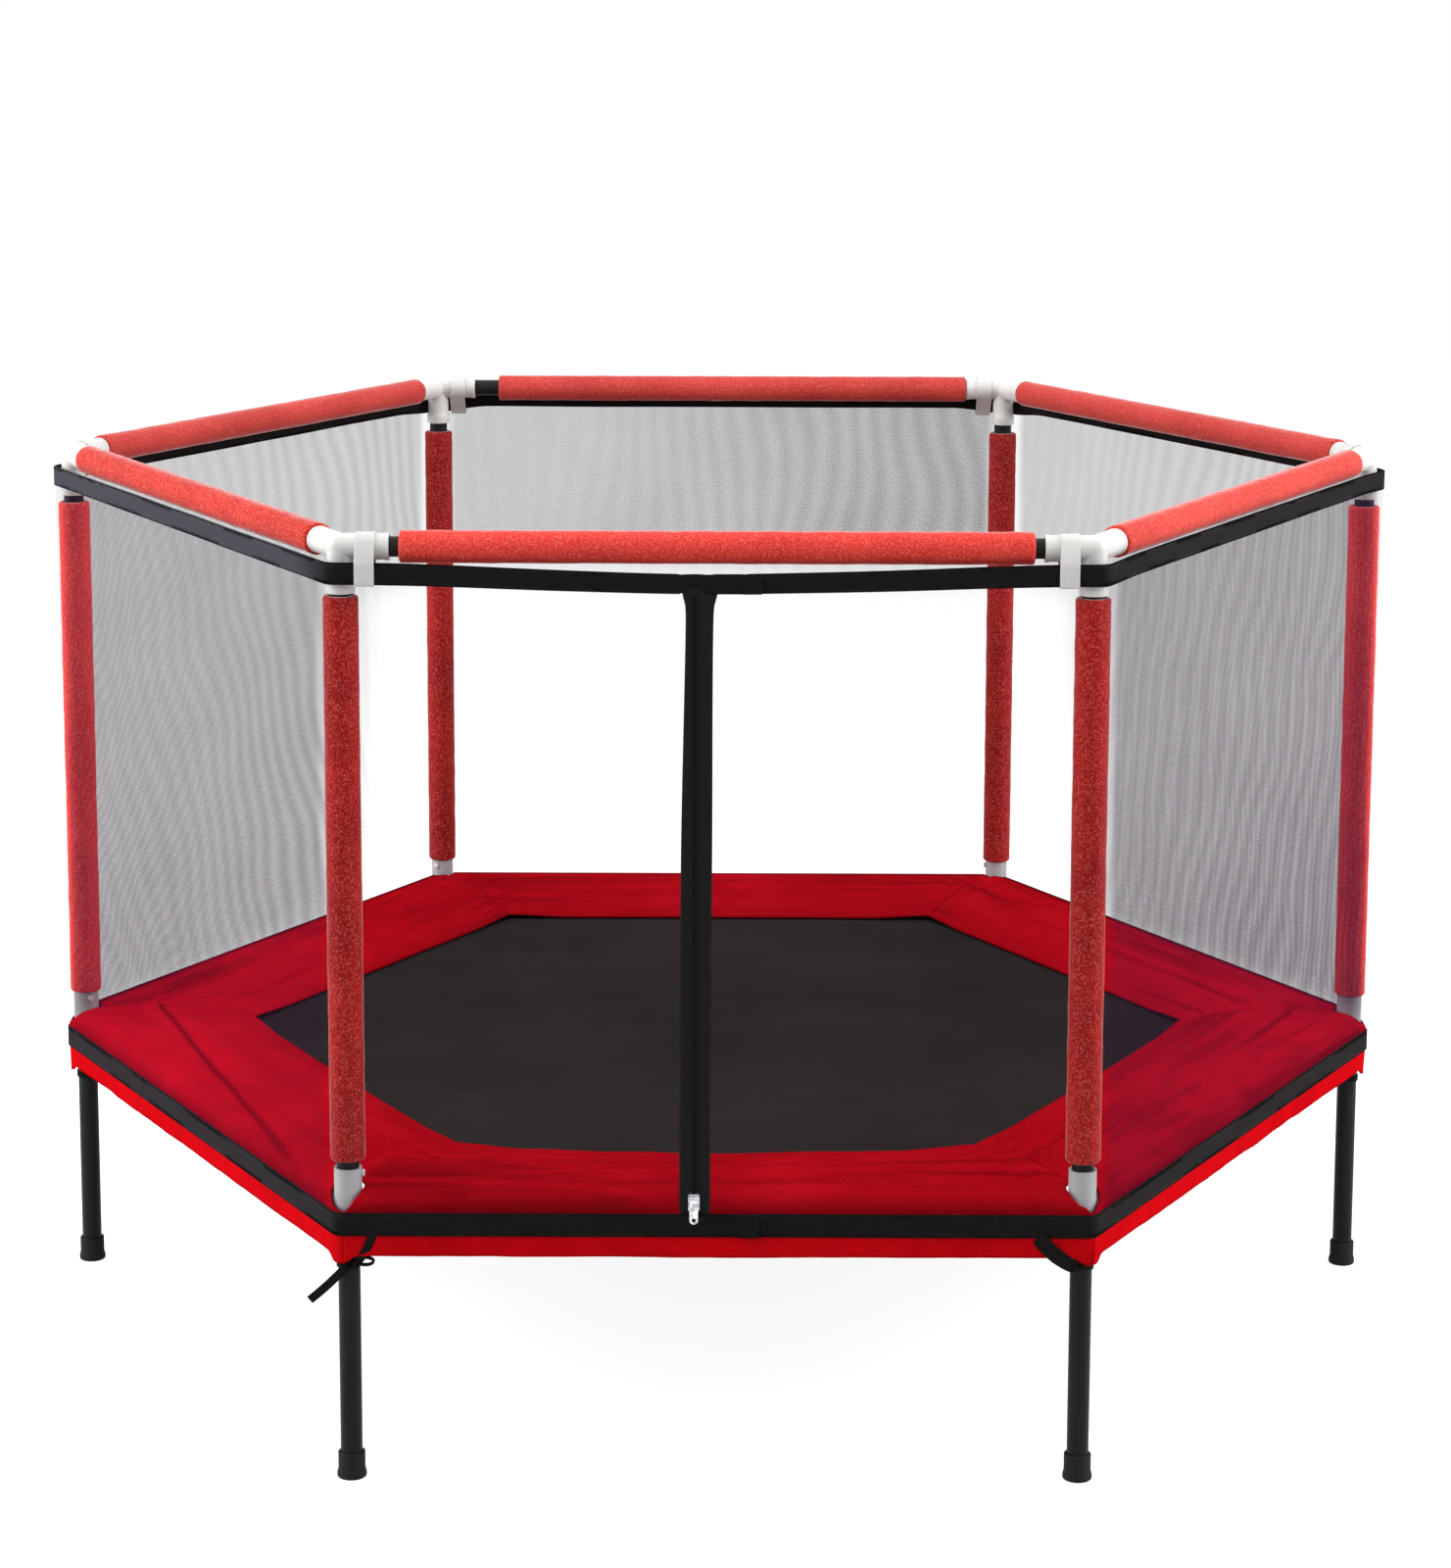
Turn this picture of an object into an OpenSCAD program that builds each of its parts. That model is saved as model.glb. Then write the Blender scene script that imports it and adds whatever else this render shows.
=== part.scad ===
// Hexagonal trampoline with a padded cover, six legs and a zipped net enclosure.
// Millimetres, +Z up, origin on the floor under the centre, front side towards -Y.

/* [Frame] */
// Distance from the centre to the axis of every leg and post
post_circle_r = 760; // [500:5:1200]
// Height of the base rails' axis above the floor
base_rail_z = 297; // [220:1:450]
// Height of the top rails' axis above the floor
top_rail_z = 987; // [800:1:1500]
// Outside diameter of the base rails
base_rail_d = 30; // [26:0.5:40]
// Outside diameter of the legs and posts
post_d = 23; // [19:0.5:25]
// Outside diameter of the top rails
top_rail_d = 21; // [16:0.5:24]
// Wall of every steel tube
tube_wall = 1.5; // [1:0.1:3]

/* [Base connectors] */
// Outside diameter of the upright socket
socket_d = 29; // [28:0.5:36]
// How far the socket stands above the base rails' axis
socket_up = 40; // [22:1:60]
// How far the socket reaches below the base rails' axis
socket_down = 38; // [24:1:60]
// Thickness of the web between leg and post
socket_web = 3; // [1:0.5:6]
// How far the web's middle lies below the base rails' axis
web_drop = 7; // [4:0.5:12]
// Distance from the post's axis to where a base rail starts
base_hub = 24; // [18:1:40]
// How deep a spigot reaches into a base rail
spigot_length = 50; // [20:1:90]
// Bore of a spigot
spigot_bore = 19; // [10:0.5:22]

/* [Feet] */
// Height of a rubber foot cap
cap_h = 28; // [15:1:50]
// Diameter of a foot cap at its top
cap_top_d = 28.5; // [26:0.5:36]
// Diameter of a foot cap at the floor
cap_foot_d = 31; // [27:0.5:45]
// Thickness of the cap's sole
cap_sole = 3; // [1.5:0.5:10]
// Height of the straight tread at the cap's foot
cap_tread = 5; // [2:0.5:10]
// Height over which the tread narrows to the cap's wall
cap_slope = 5; // [2:0.5:12]
// Width of the bevel at the cap's edges
cap_edge = 1; // [0.5:0.1:1.5]

/* [Top elbows] */
// Outside diameter of the three ports
elbow_d = 27; // [26:0.5:34]
// Reach of each side port from the post's axis
elbow_reach = 50; // [30:1:70]
// Reach of the lower port below the top rails' axis
elbow_drop = 47; // [30:1:70]
// Diameter of the collar round the lower port
elbow_collar_d = 30; // [28:0.5:36]
// Height of that collar
elbow_collar_h = 11; // [4:0.5:20]
// Diameter of the bead at a side port's mouth
elbow_bead_d = 28; // [27:0.5:36]
// Width of that bead
elbow_bead_w = 4; // [2:0.5:10]
// Gap between a post's end and the line of the top rails
post_end_gap = 3; // [2:0.5:8]
// Gap between a top rail's end and the post's line
rail_end_gap = 6; // [5:0.5:12]

/* [Foam sleeves] */
// Outside diameter of the post sleeves
post_foam_d = 37; // [30:0.5:50]
// Bare tube below the two front sleeves; the other four have slid down onto their sockets
post_foam_lift = 6; // [1:0.5:40]
// Bare tube between the two front sleeves and their elbows
post_foam_gap = 3; // [1:0.5:40]
// Outside diameter of the top rail sleeves
rail_foam_d = 34; // [26:0.5:48]
// Bare tube at each end of the front rail's sleeve
front_foam_gap = 10; // [0.5:0.5:60]
// Bare tube at the left end of the back rail's sleeve, which has slipped to the right
back_foam_gap_left = 32; // [0.5:0.5:60]
// Bare tube at the right end of the back rail's sleeve
back_foam_gap_right = 1; // [0.5:0.5:60]
// Bare tube at each end of the other four rails' sleeves
side_foam_gap = 0.5; // [0.5:0.5:60]

/* [Mat] */
// Distance from the post circle to the corners of the mat
mat_inset = 160; // [150:1:180]
// Thickness of the mat's fabric
mat_t = 3; // [1:0.5:6]
// Thickness of the sewn border on each face
border_t = 1.5; // [0.5:0.25:3]
// Width of the sewn border
border_w = 30; // [15:1:60]
// How far the mat's middle lies below the base rails' axis
mat_drop = 0; // [-5:0.5:5]

/* [Springs] */
// Springs on each side
springs_per_side = 6; // [2:1:8]
// Distance from the mat's corners to the first spring
spring_margin = 62.5; // [40:0.5:120]
// Diameter of the coil
coil_d = 10; // [8:0.5:14]
// Turns of the coil
coil_turns = 14; // [6:1:18]
// Depth of the groove between the turns
coil_groove = 0.9; // [0.3:0.1:1.5]
// Wire of the hooks
wire_d = 2.6; // [2:0.1:4]
// Straight wire between rail and coil
rail_wire = 14; // [6:1:20]
// Height of the upturned tip inside the rail
hook_tip = 4; // [2:0.5:5]
// Gap between the tip and the rail's wall
hook_gap = 1; // [0.5:0.1:2]
// Radius of the eye at the mat end, to the middle of its wire
eye_r = 5; // [4.5:0.1:7]
// Straight wire between the eye and the coil
eye_wire = 7; // [4:0.5:20]

/* [Mat rings] */
// Thickness of a ring's wire
ring_t = 3; // [2:0.1:4]
// Width of a ring where the mat holds it
ring_wide = 27; // [20:0.5:40]
// Width of a ring where the spring holds it
ring_narrow = 13; // [12:0.5:18]
// Reach of a ring past the edge of the mat
ring_reach = 27; // [18:0.5:40]
// Width of the webbing tab that holds a ring
tab_w = 17; // [8:0.5:18]
// Thickness of the webbing tab
tab_t = 7; // [6:0.5:10]
// How far the tab stands out from the mat
tab_out = 8; // [6:0.5:12]
// How far the tab reaches back over the mat
tab_back = 22; // [8:1:40]
// Webbing outside a ring's wire where the tab folds back
tab_fold = 1.5; // [1:0.1:3]

/* [Cover] */
// Distance from the post circle to the corners of the cover's inner edge
cover_corner_w = 200; // [180:1:260]
// Thickness of the cover
cover_t = 2.4; // [1:0.1:6]
// How far the skirt reaches below the base rails' axis
skirt_drop = 50; // [36:1:90]
// How far the cover's crown stands above its height over the base rails
cover_crown = 5; // [0:0.5:12]
// Distance from the base rails' axis to the crown
cover_crown_in = 66; // [50:1:100]
// How far inside the mat's border the cover begins to rise
cover_rise = 2; // [1:0.5:6]
// Radius of the cut-out round each post
cover_cut_r = 17; // [16:0.5:17.5]
// Height of the point at the cut-out's lower end
cover_cut_point = 13; // [8:0.5:16]

/* [Net] */
// Height of the upper hem
top_hem_h = 23; // [12:1:40]
// Height of the upper hem's upper edge below the top rails' axis
top_hem_drop = 13; // [6:0.5:30]
// Height of the lower band
band_h = 25; // [12:1:40]
// Height of the lower band's upper edge below the base rails' axis
band_drop = 3; // [1:0.5:12]
// Thickness of hem and band
hem_t = 3; // [1:0.25:5]
// Thickness of the net
net_t = 1; // [0.5:0.1:1]
// Width of the net's threads
thread_w = 4; // [2:0.5:8]
// Openings along a side
net_columns = 8; // [2:1:8]
// Openings from band to hem
net_rows = 6; // [2:1:6]

/* [Straps] */
// Width of a webbing strap
strap_w = 20; // [10:0.5:28]
// Thickness of a webbing strap
strap_t = 1.2; // [0.8:0.1:3]
// Distance of the strap's middle from the post's axis
strap_place = 26; // [24:0.5:28]

/* [Zip] */
// Place of the zip along the front side
zip_x = -22; // [-150:1:150]
// Width of the zip's tape
zip_tape_w = 32; // [20:0.5:50]
// Width of the zip's coil
zip_coil_w = 5; // [3:0.1:8]
// Thickness of the zip's coil
zip_coil_t = 2; // [1:0.1:4]
// Width of the web that carries the coil
zip_web_w = 1.6; // [0.8:0.1:2.4]
// How far the coil stands off the tape
zip_web_t = 2.2; // [1.9:0.1:4]
// Width of the slider
slider_w = 11.5; // [10:0.5:18]
// Height of the slider
slider_h = 17; // [13:0.5:30]
// Thickness of the slider's front wall
slider_front = 1.8; // [1:0.1:4]
// Height of the closed slider above the band
slider_rest = 6; // [0.5:0.5:30]
// Diameter of the slider's pin
pin_d = 1.8; // [1:0.1:3]
// Wall of the pull's knuckle round the pin
knuckle_wall = 0.7; // [0.5:0.1:2]
// Distance from the knuckle to the slider's upper end
pin_drop = 1; // [0.5:0.1:3]
// Thickness of the slider's two ears
ear_t = 1.2; // [0.8:0.1:2]
// Length of the pull below the pin
pull_length = 28; // [15:0.5:50]
// Width of the pull
pull_w = 9; // [6:0.5:16]
// Thickness of the pull
pull_t = 1.6; // [0.8:0.1:3]
// Length of the pull's narrow neck
neck_length = 6; // [4:0.5:10]
// Length over which the neck widens to the pull
shoulder = 3; // [1:0.5:6]
// Diameter of the hole in the pull
hole_d = 4; // [2:0.5:6]

/* [Ties and screws] */
// How far the tie's loop lies below the skirt's lower edge
tie_drop = 15; // [8:0.5:60]
// Width of the tie's ribbon
tie_w = 7; // [4:0.5:12]
// Thickness of the tie's ribbon
tie_t = 1.4; // [0.8:0.1:3]
// Distance from the post's axis to where a tie meets the band
tie_spread = 50; // [40:1:90]
// Distance from the post's axis to where a tie passes under the skirt
tie_turn = 30; // [24:1:60]
// Sideways reach of the front left tie's free end
tail_reach = 40; // [20:1:80]
// Fall of that free end
tail_fall = 38; // [10:1:60]
// How far the free end bows below a straight line, as a share of its fall
tail_bow = 0.15; // [-0.5:0.05:0.5]
// Diameter of the screws' shanks
screw_d = 4; // [3:0.5:5]
// Diameter of the screws' heads
screw_head_d = 7; // [6:0.5:9]
// Height of the screws' heads
screw_head_h = 2.6; // [1:0.1:4]
// Length of the screws' shanks
screw_length = 9; // [5:0.5:12]
// Height of the leg screws above the sockets' lower ends
leg_screw_up = 12; // [6:0.5:16]
// Distance from the post screws' heads to the sockets' upper ends
post_screw_down = 3; // [1:0.5:6]

/* [Fits] */
// Running gap between tubes and the sockets that hold them
fit_gap = 0.2; // [0.1:0.05:0.5]
// Gap between soft pieces and what they lie on
soft_gap = 0.3; // [0.2:0.05:0.6]
// Gap round the zip's sliding and turning pieces
slide_gap = 0.4; // [0.3:0.05:0.6]

/* [Hidden] */
$fn = 48;

// Corners lie at 60 degree steps, beginning on +X; sides lie between them.
front_left = 240;
front_right = 300;
right = 0;
back_right = 60;
back_left = 120;
left = 180;
corners = [right, back_right, back_left, left, front_left, front_right];
front_side = 270;
back_side = 90;
sides = [30, 90, 150, 210, 270, 330];

side_length = post_circle_r;
apothem = post_circle_r * cos(30);
cut = 400;
joint_lap = 0.1;
cut_margin = 2;
crown_steps = 7;
roll_steps = 10;
roll_start = 80;

leg_top_z = base_rail_z - socket_web / 2 - web_drop;
post_foot_z = leg_top_z + socket_web;
socket_top_z = base_rail_z + socket_up;
socket_foot_z = base_rail_z - socket_down;
socket_bore = post_d + 2 * fit_gap;
spigot_d = base_rail_d - 2 * tube_wall - 2 * fit_gap;
leg_screw_z = socket_foot_z + leg_screw_up;
post_screw_z = socket_top_z - screw_head_d / 2 - post_screw_down;
post_top_z = top_rail_z - post_d / 2 - post_end_gap;
rail_end = top_rail_d / 2 + rail_end_gap;
elbow_foot_z = top_rail_z - elbow_drop;

mat_z = base_rail_z - mat_drop;
skirt_z = base_rail_z - skirt_drop;
tie_z = skirt_z - tie_drop;
spring_u = apothem - base_rail_d / 2;
mat_corner_r = post_circle_r - mat_inset;
mat_apothem = mat_corner_r * cos(30);
spring_pitch = (mat_corner_r - 2 * spring_margin) / (springs_per_side - 1);
ring_bar_u = mat_apothem + tab_out - ring_t / 2 - tab_fold;
ring_apex_u = mat_apothem + ring_reach;
eye_u = ring_apex_u + eye_r - wire_d / 2 - ring_t / sqrt(2) - soft_gap;
coil_in_u = eye_u + eye_r + eye_wire;
coil_out_u = spring_u - rail_wire;
hook_u = spring_u + tube_wall + wire_d / 2 + hook_gap;

cover_in_u = (post_circle_r - cover_corner_w) * cos(30);
cover_rail_r = base_rail_d / 2 + soft_gap;
cover_out_u = apothem + cover_rail_r + cover_t;
spring_top_z = mat_z + coil_d / 2;
border_top_z = mat_z + max(tab_t / 2, mat_t / 2 + border_t);

hem_u = max(cover_out_u, apothem + post_foam_d / 2) + soft_gap;
net_u = hem_u + (hem_t - net_t) / 2;
hem_out_u = hem_u + hem_t;
top_hem_z = top_rail_z - top_hem_drop;
net_top_z = top_hem_z - top_hem_h;
band_top_z = base_rail_z - band_drop;
band_foot_z = band_top_z - band_h;
net_half = net_u * tan(30) - joint_lap;

tape_out_u = net_u + net_t;
coil_back_u = tape_out_u + zip_web_t;
coil_front_u = coil_back_u + zip_coil_t;
slider_back_u = tape_out_u + slide_gap;
slider_front_u = coil_front_u + slide_gap + slider_front;
slider_foot_z = band_top_z + slider_rest;
knuckle_d = pin_d + 2 * slide_gap + 2 * knuckle_wall;
pin_u = slider_front_u + knuckle_d / 2 + slide_gap;
pin_z = slider_foot_z + slider_h - knuckle_d / 2 - pin_drop;
knuckle_w = slider_w - 2 * ear_t - 2 * slide_gap;

// ---- places ----

// Children stand on the post's axis, with +X pointing away from the centre.
module at_corner(angle) {
    rotate([0, 0, angle]) translate([post_circle_r, 0, 0]) children();
}

// Children lie along a side: +X points outward from the centre, the side runs along Y.
module at_side(angle) {
    rotate([0, 0, angle]) children();
}

// A rod along +X from x0 to x1 at the given height.
module rod_x(x0, x1, d, z) {
    translate([x0, 0, z]) rotate([0, 90, 0]) cylinder(d = d, h = x1 - x0);
}

// A straight ribbon on edge from point a to point b.
module ribbon(a, b, w, t) {
    v = b - a;
    translate(a)
        rotate([0, acos(v.z / norm(v)), atan2(v.y, v.x)])
            translate([-w / 2, -t / 2, 0]) cube([w, t, norm(v)]);
}

// A tube standing on z0.
module tube(d, wall, z0, z1) {
    translate([0, 0, z0]) difference() {
        cylinder(d = d, h = z1 - z0);
        translate([0, 0, -1]) cylinder(d = d - 2 * wall, h = z1 - z0 + 2);
    }
}

// ---- frame ----

module spigot(angle) {
    rotate([0, 0, angle]) {
        rod_x(0, base_hub - fit_gap, base_rail_d, base_rail_z);
        rod_x(0, base_hub + spigot_length, spigot_d, base_rail_z);
    }
}

module base_connector() {
    difference() {
        union() {
            translate([0, 0, socket_foot_z])
                cylinder(d = socket_d, h = socket_top_z - socket_foot_z);
            translate([0, 0, base_rail_z]) sphere(d = base_rail_d);
            spigot(120);
            spigot(-120);
        }
        translate([0, 0, post_foot_z]) cylinder(d = socket_bore, h = cut);
        translate([0, 0, leg_top_z - cut]) cylinder(d = socket_bore, h = cut);
        for (turn = [120, -120])
            rotate([0, 0, turn])
                rod_x(base_hub, base_hub + spigot_length + 1, spigot_bore, base_rail_z);
        leg_screw_shank(screw_d + 2 * fit_gap);
        post_screw_shank(screw_d + 2 * fit_gap);
    }
}

module leg() {
    difference() {
        tube(post_d, tube_wall, cap_sole, leg_top_z);
        leg_screw_shank(screw_d + 2 * fit_gap);
    }
}

module post() {
    difference() {
        tube(post_d, tube_wall, post_foot_z, post_top_z);
        post_screw_shank(screw_d + 2 * fit_gap);
    }
}

module foot_cap() {
    difference() {
        rotate_extrude() polygon([
            [0, 0], [cap_foot_d / 2 - cap_edge, 0], [cap_foot_d / 2, cap_edge], [cap_foot_d / 2, cap_tread],
            [cap_top_d / 2, cap_tread + cap_slope], [cap_top_d / 2, cap_h - cap_edge],
            [cap_top_d / 2 - cap_edge, cap_h], [0, cap_h]]);
        translate([0, 0, cap_sole]) cylinder(d = post_d + 2 * fit_gap, h = cut);
    }
}

module base_rail() {
    length = side_length - 2 * base_hub;
    difference() {
        translate([apothem, -length / 2, base_rail_z]) rotate([-90, 0, 0])
            tube(base_rail_d, tube_wall, 0, length);
        for (i = [0 : springs_per_side - 1])
            translate([0, spring_y(i), 0])
                rod_x(spring_u - cut_margin, spring_u + tube_wall + cut_margin,
                    wire_d + 2 * soft_gap, mat_z);
    }
}

module top_rail() {
    length = side_length - 2 * rail_end;
    translate([apothem, -length / 2, top_rail_z]) rotate([-90, 0, 0])
        tube(top_rail_d, tube_wall, 0, length);
}

module elbow_port() {
    rod_x(0, elbow_reach, elbow_d, top_rail_z);
    rod_x(elbow_reach - elbow_bead_w, elbow_reach, elbow_bead_d, top_rail_z);
}

module top_elbow() {
    difference() {
        union() {
            translate([0, 0, top_rail_z]) sphere(d = elbow_d);
            translate([0, 0, elbow_foot_z]) cylinder(d = elbow_d, h = elbow_drop);
            translate([0, 0, elbow_foot_z]) cylinder(d = elbow_collar_d, h = elbow_collar_h);
            rotate([0, 0, 120]) elbow_port();
            rotate([0, 0, -120]) elbow_port();
        }
        translate([0, 0, elbow_foot_z - 1])
            cylinder(d = post_d + 2 * fit_gap, h = post_top_z - elbow_foot_z + 1);
        for (turn = [120, -120])
            rotate([0, 0, turn])
                rod_x(rail_end, elbow_reach + 1, top_rail_d + 2 * fit_gap, top_rail_z);
    }
}

// ---- foam ----

// A sleeve with the given gap above its socket; all six are as long as the front ones.
module post_foam(lift) {
    length = elbow_foot_z - post_foam_gap - socket_top_z - post_foam_lift;
    z0 = socket_top_z + lift;
    tube(post_foam_d, (post_foam_d - post_d) / 2 - fit_gap, z0, z0 + length);
}

// A sleeve between the elbows of a side, with bare tube at its two ends.
module rail_foam(start_gap, end_gap) {
    y0 = elbow_reach + start_gap - side_length / 2;
    y1 = side_length / 2 - elbow_reach - end_gap;
    translate([apothem, y0, top_rail_z]) rotate([-90, 0, 0])
        tube(rail_foam_d, (rail_foam_d - top_rail_d) / 2 - fit_gap, 0, y1 - y0);
}

// ---- screws ----

module screw(length, d) {
    rod_x(socket_d / 2 - length, socket_d / 2 + joint_lap, d, 0);
}

module leg_screw_shank(d) {
    rotate([0, 0, 180]) translate([0, 0, leg_screw_z]) screw(screw_length, d);
}

module post_screw_shank(d) {
    rotate([0, 0, 120]) translate([0, 0, post_screw_z]) screw(screw_length, d);
}

module screw_head() {
    rod_x(socket_d / 2 + joint_lap, socket_d / 2 + joint_lap + screw_head_h, screw_head_d, 0);
}

module leg_screw() {
    leg_screw_shank(screw_d);
    rotate([0, 0, 180]) translate([0, 0, leg_screw_z]) screw_head();
}

module post_screw() {
    post_screw_shank(screw_d);
    rotate([0, 0, 120]) translate([0, 0, post_screw_z]) screw_head();
}

// ---- mat and springs ----

function spring_y(i) = (i - (springs_per_side - 1) / 2) * spring_pitch;

module along_side() {
    for (i = [0 : springs_per_side - 1]) translate([0, spring_y(i), 0]) children();
}

module hexagon(r, h) {
    cylinder(r = r, h = h, $fn = 6);
}

module mat_body() {
    inner_r = mat_corner_r - border_w / cos(30);
    difference() {
        union() {
            translate([0, 0, mat_z - mat_t / 2]) hexagon(mat_corner_r, mat_t);
            translate([0, 0, mat_z - mat_t / 2 - border_t]) difference() {
                hexagon(mat_corner_r, mat_t + 2 * border_t);
                translate([0, 0, -1]) hexagon(inner_r, mat_t + 2 * border_t + 2);
            }
            for (side = sides) at_side(side) along_side()
                translate([mat_apothem - tab_back, -tab_w / 2, mat_z - tab_t / 2])
                    cube([tab_back + tab_out, tab_w, tab_t]);
        }
        slot = ring_t + 2 * soft_gap;
        for (side = sides) at_side(side) along_side()
            translate([ring_bar_u - slot / 2, -tab_w, mat_z - slot / 2]) cube([slot, 2 * tab_w, slot]);
    }
}

module mat_ring() {
    u0 = ring_bar_u - ring_t / 2;
    u1 = ring_apex_u + ring_t / 2;
    lean = ring_t * 1.15;
    translate([0, 0, mat_z - ring_t / 2]) linear_extrude(ring_t) difference() {
        polygon([[u0, -ring_wide / 2], [u0, ring_wide / 2], [u1, ring_narrow / 2], [u1, -ring_narrow / 2]]);
        polygon([
            [u0 + ring_t, -ring_wide / 2 + lean], [u0 + ring_t, ring_wide / 2 - lean],
            [u1 - ring_t, ring_narrow / 2 - lean], [u1 - ring_t, -ring_narrow / 2 + lean]]);
    }
}

// The coil's outline, a zigzag of turns beside its axis.
function coil_outline() = [
    for (i = [0 : 2 * coil_turns])
        [coil_d / 2 - (i % 2 == 0 ? coil_groove : 0), i * (coil_out_u - coil_in_u) / (2 * coil_turns)]];

module spring() {
    translate([coil_in_u, 0, mat_z]) rotate([0, 90, 0])
        rotate_extrude($fn = 24) polygon(concat([[0, 0]], coil_outline(), [[0, coil_out_u - coil_in_u]]));
    rod_x(coil_out_u - 1, hook_u, wire_d, mat_z);
    translate([hook_u, 0, mat_z]) sphere(d = wire_d);
    translate([hook_u, 0, mat_z]) cylinder(d = wire_d, h = hook_tip);
    rod_x(eye_u + eye_r, coil_in_u + 1, wire_d, mat_z);
    translate([eye_u, 0, mat_z]) rotate([90, 0, 0]) rotate_extrude($fn = 24)
        translate([eye_r, 0]) circle(d = wire_d);
}

// ---- cover ----

// The cover's surface in section: inner edge, rise to the crown, fall to the rail, roll over it, skirt.
function cover_line(lift) =
    let (
        r = cover_rail_r + lift,
        edge = [cover_in_u, mat_z + mat_t / 2 + soft_gap + lift],
        over = [mat_apothem - border_w - cover_rise, border_top_z + soft_gap + lift],
        crown_z = max(base_rail_z + cover_rail_r + cover_crown, spring_top_z) + lift,
        crown = [apothem - cover_crown_in, crown_z],
        roll = [apothem + r * cos(roll_start), base_rail_z + r * sin(roll_start)]
    )
    concat(
        [edge],
        [for (i = [0 : crown_steps]) let (t = i / crown_steps)
            [over.x + t * (crown.x - over.x), over.y + sin(90 * t) * (crown.y - over.y)]],
        [for (i = [1 : crown_steps - 1]) let (t = i / crown_steps)
            [crown.x + t * (roll.x - crown.x), roll.y + cos(90 * t) * (crown.y - roll.y)]],
        [for (i = [0 : roll_steps]) let (a = roll_start * (1 - i / roll_steps))
            [apothem + r * cos(a), base_rail_z + r * sin(a)]],
        [[apothem + r, skirt_z]]);

module cover_panel() {
    under = cover_line(0);
    over = cover_line(cover_t);
    reversed = [for (i = [len(over) - 1 : -1 : 0]) over[i]];
    reach = 2 * cover_out_u;
    intersection() {
        translate([0, side_length, 0]) rotate([90, 0, 0])
            linear_extrude(2 * side_length) polygon(concat(under, reversed));
        linear_extrude(2 * cut) polygon([[0, -joint_lap], [reach, -reach * tan(30) - joint_lap],
            [reach, reach * tan(30) + joint_lap], [0, joint_lap]]);
    }
}

module cover_body() {
    difference() {
        for (side = sides) at_side(side) cover_panel();
        for (corner = corners) at_corner(corner) {
            cylinder(r = cover_cut_r, h = 2 * cut);
            translate([0, 0, band_top_z]) rotate([90, 0, 90]) linear_extrude(cut / 8) polygon([
                [0, 0], [cover_cut_r, cover_cut_point], [cover_cut_r, cut],
                [-cover_cut_r, cut], [-cover_cut_r, cover_cut_point]]);
        }
    }
}

// ---- net ----

// A band round the enclosure, mitred at the corners.
module hexagon_band(u, t, z0, h) {
    translate([0, 0, z0]) difference() {
        hexagon((u + t) / cos(30), h);
        translate([0, 0, -1]) hexagon(u / cos(30), h + 2);
    }
}

// A net from y0 to y1 along a side, with columns of openings.
module net(y0, y1, columns) {
    height = net_top_z - band_top_z;
    step = (y1 - y0 - thread_w) / columns;
    rise = (height - thread_w) / net_rows;
    difference() {
        translate([net_u, y0, band_top_z]) cube([net_t, y1 - y0, height]);
        for (i = [0 : columns - 1], j = [0 : net_rows - 1])
            translate([net_u - 1, y0 + thread_w + i * step, band_top_z + thread_w + j * rise])
                cube([net_t + 2, step - thread_w, rise - thread_w]);
        for (end = [-1, 1]) translate([
            net_u - 1, end * (side_length / 2 - strap_place) - strap_w / 2 - soft_gap,
            net_top_z - strap_t - 3 * soft_gap])
            cube([net_t + 2, strap_w + 2 * soft_gap, cut]);
    }
}

// The strap's loop in section, wrapped round the elbow's port and the hem at a clearance.
function strap_line(gap) =
    let (
        r = elbow_d / 2 + gap,
        inner = [hem_u - apothem - gap, net_top_z - top_rail_z - gap],
        outer = [hem_out_u - apothem + gap, net_top_z - top_rail_z - gap],
        upper = [hem_out_u - apothem + gap, top_hem_z - top_rail_z + gap],
        a0 = atan2(upper.y, upper.x) + acos(r / norm(upper)),
        a1 = 360 + atan2(inner.y, inner.x) - acos(r / norm(inner))
    )
    concat(
        [inner, outer, upper],
        [for (i = [0 : 16]) let (a = a0 + (a1 - a0) * i / 16) r * [cos(a), sin(a)]]);

module strap(end) {
    translate([apothem, end * (side_length / 2 - strap_place) + strap_w / 2, top_rail_z])
        rotate([90, 0, 0]) linear_extrude(strap_w) difference() {
            polygon(strap_line(soft_gap + strap_t));
            polygon(strap_line(soft_gap));
        }
}

// ---- zip ----

module zip_slider_body() {
    ear_h = knuckle_d + 1;
    difference() {
        translate([-slider_w / 2, -slider_front_u, slider_foot_z])
            cube([slider_w, slider_front_u - slider_back_u, slider_h]);
        translate([-zip_coil_w / 2 - slide_gap, -coil_front_u - slide_gap, slider_foot_z - 1])
            cube([zip_coil_w + 2 * slide_gap, zip_coil_t + 2 * slide_gap, slider_h + 2]);
        translate([-zip_web_w / 2 - slide_gap, -coil_back_u, slider_foot_z - 1])
            cube([zip_web_w + 2 * slide_gap, coil_back_u - slider_back_u + 1, slider_h + 2]);
    }
    for (end = [-1, 1])
        translate([end * (slider_w - ear_t) / 2 - ear_t / 2, -pin_u - knuckle_d / 2, pin_z - ear_h / 2])
            cube([ear_t, pin_u + knuckle_d / 2 - slider_front_u + joint_lap, ear_h]);
    translate([-slider_w / 2 + joint_lap, -pin_u, pin_z]) rotate([0, 90, 0])
        cylinder(d = pin_d, h = slider_w - 2 * joint_lap, $fn = 24);
}

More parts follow.
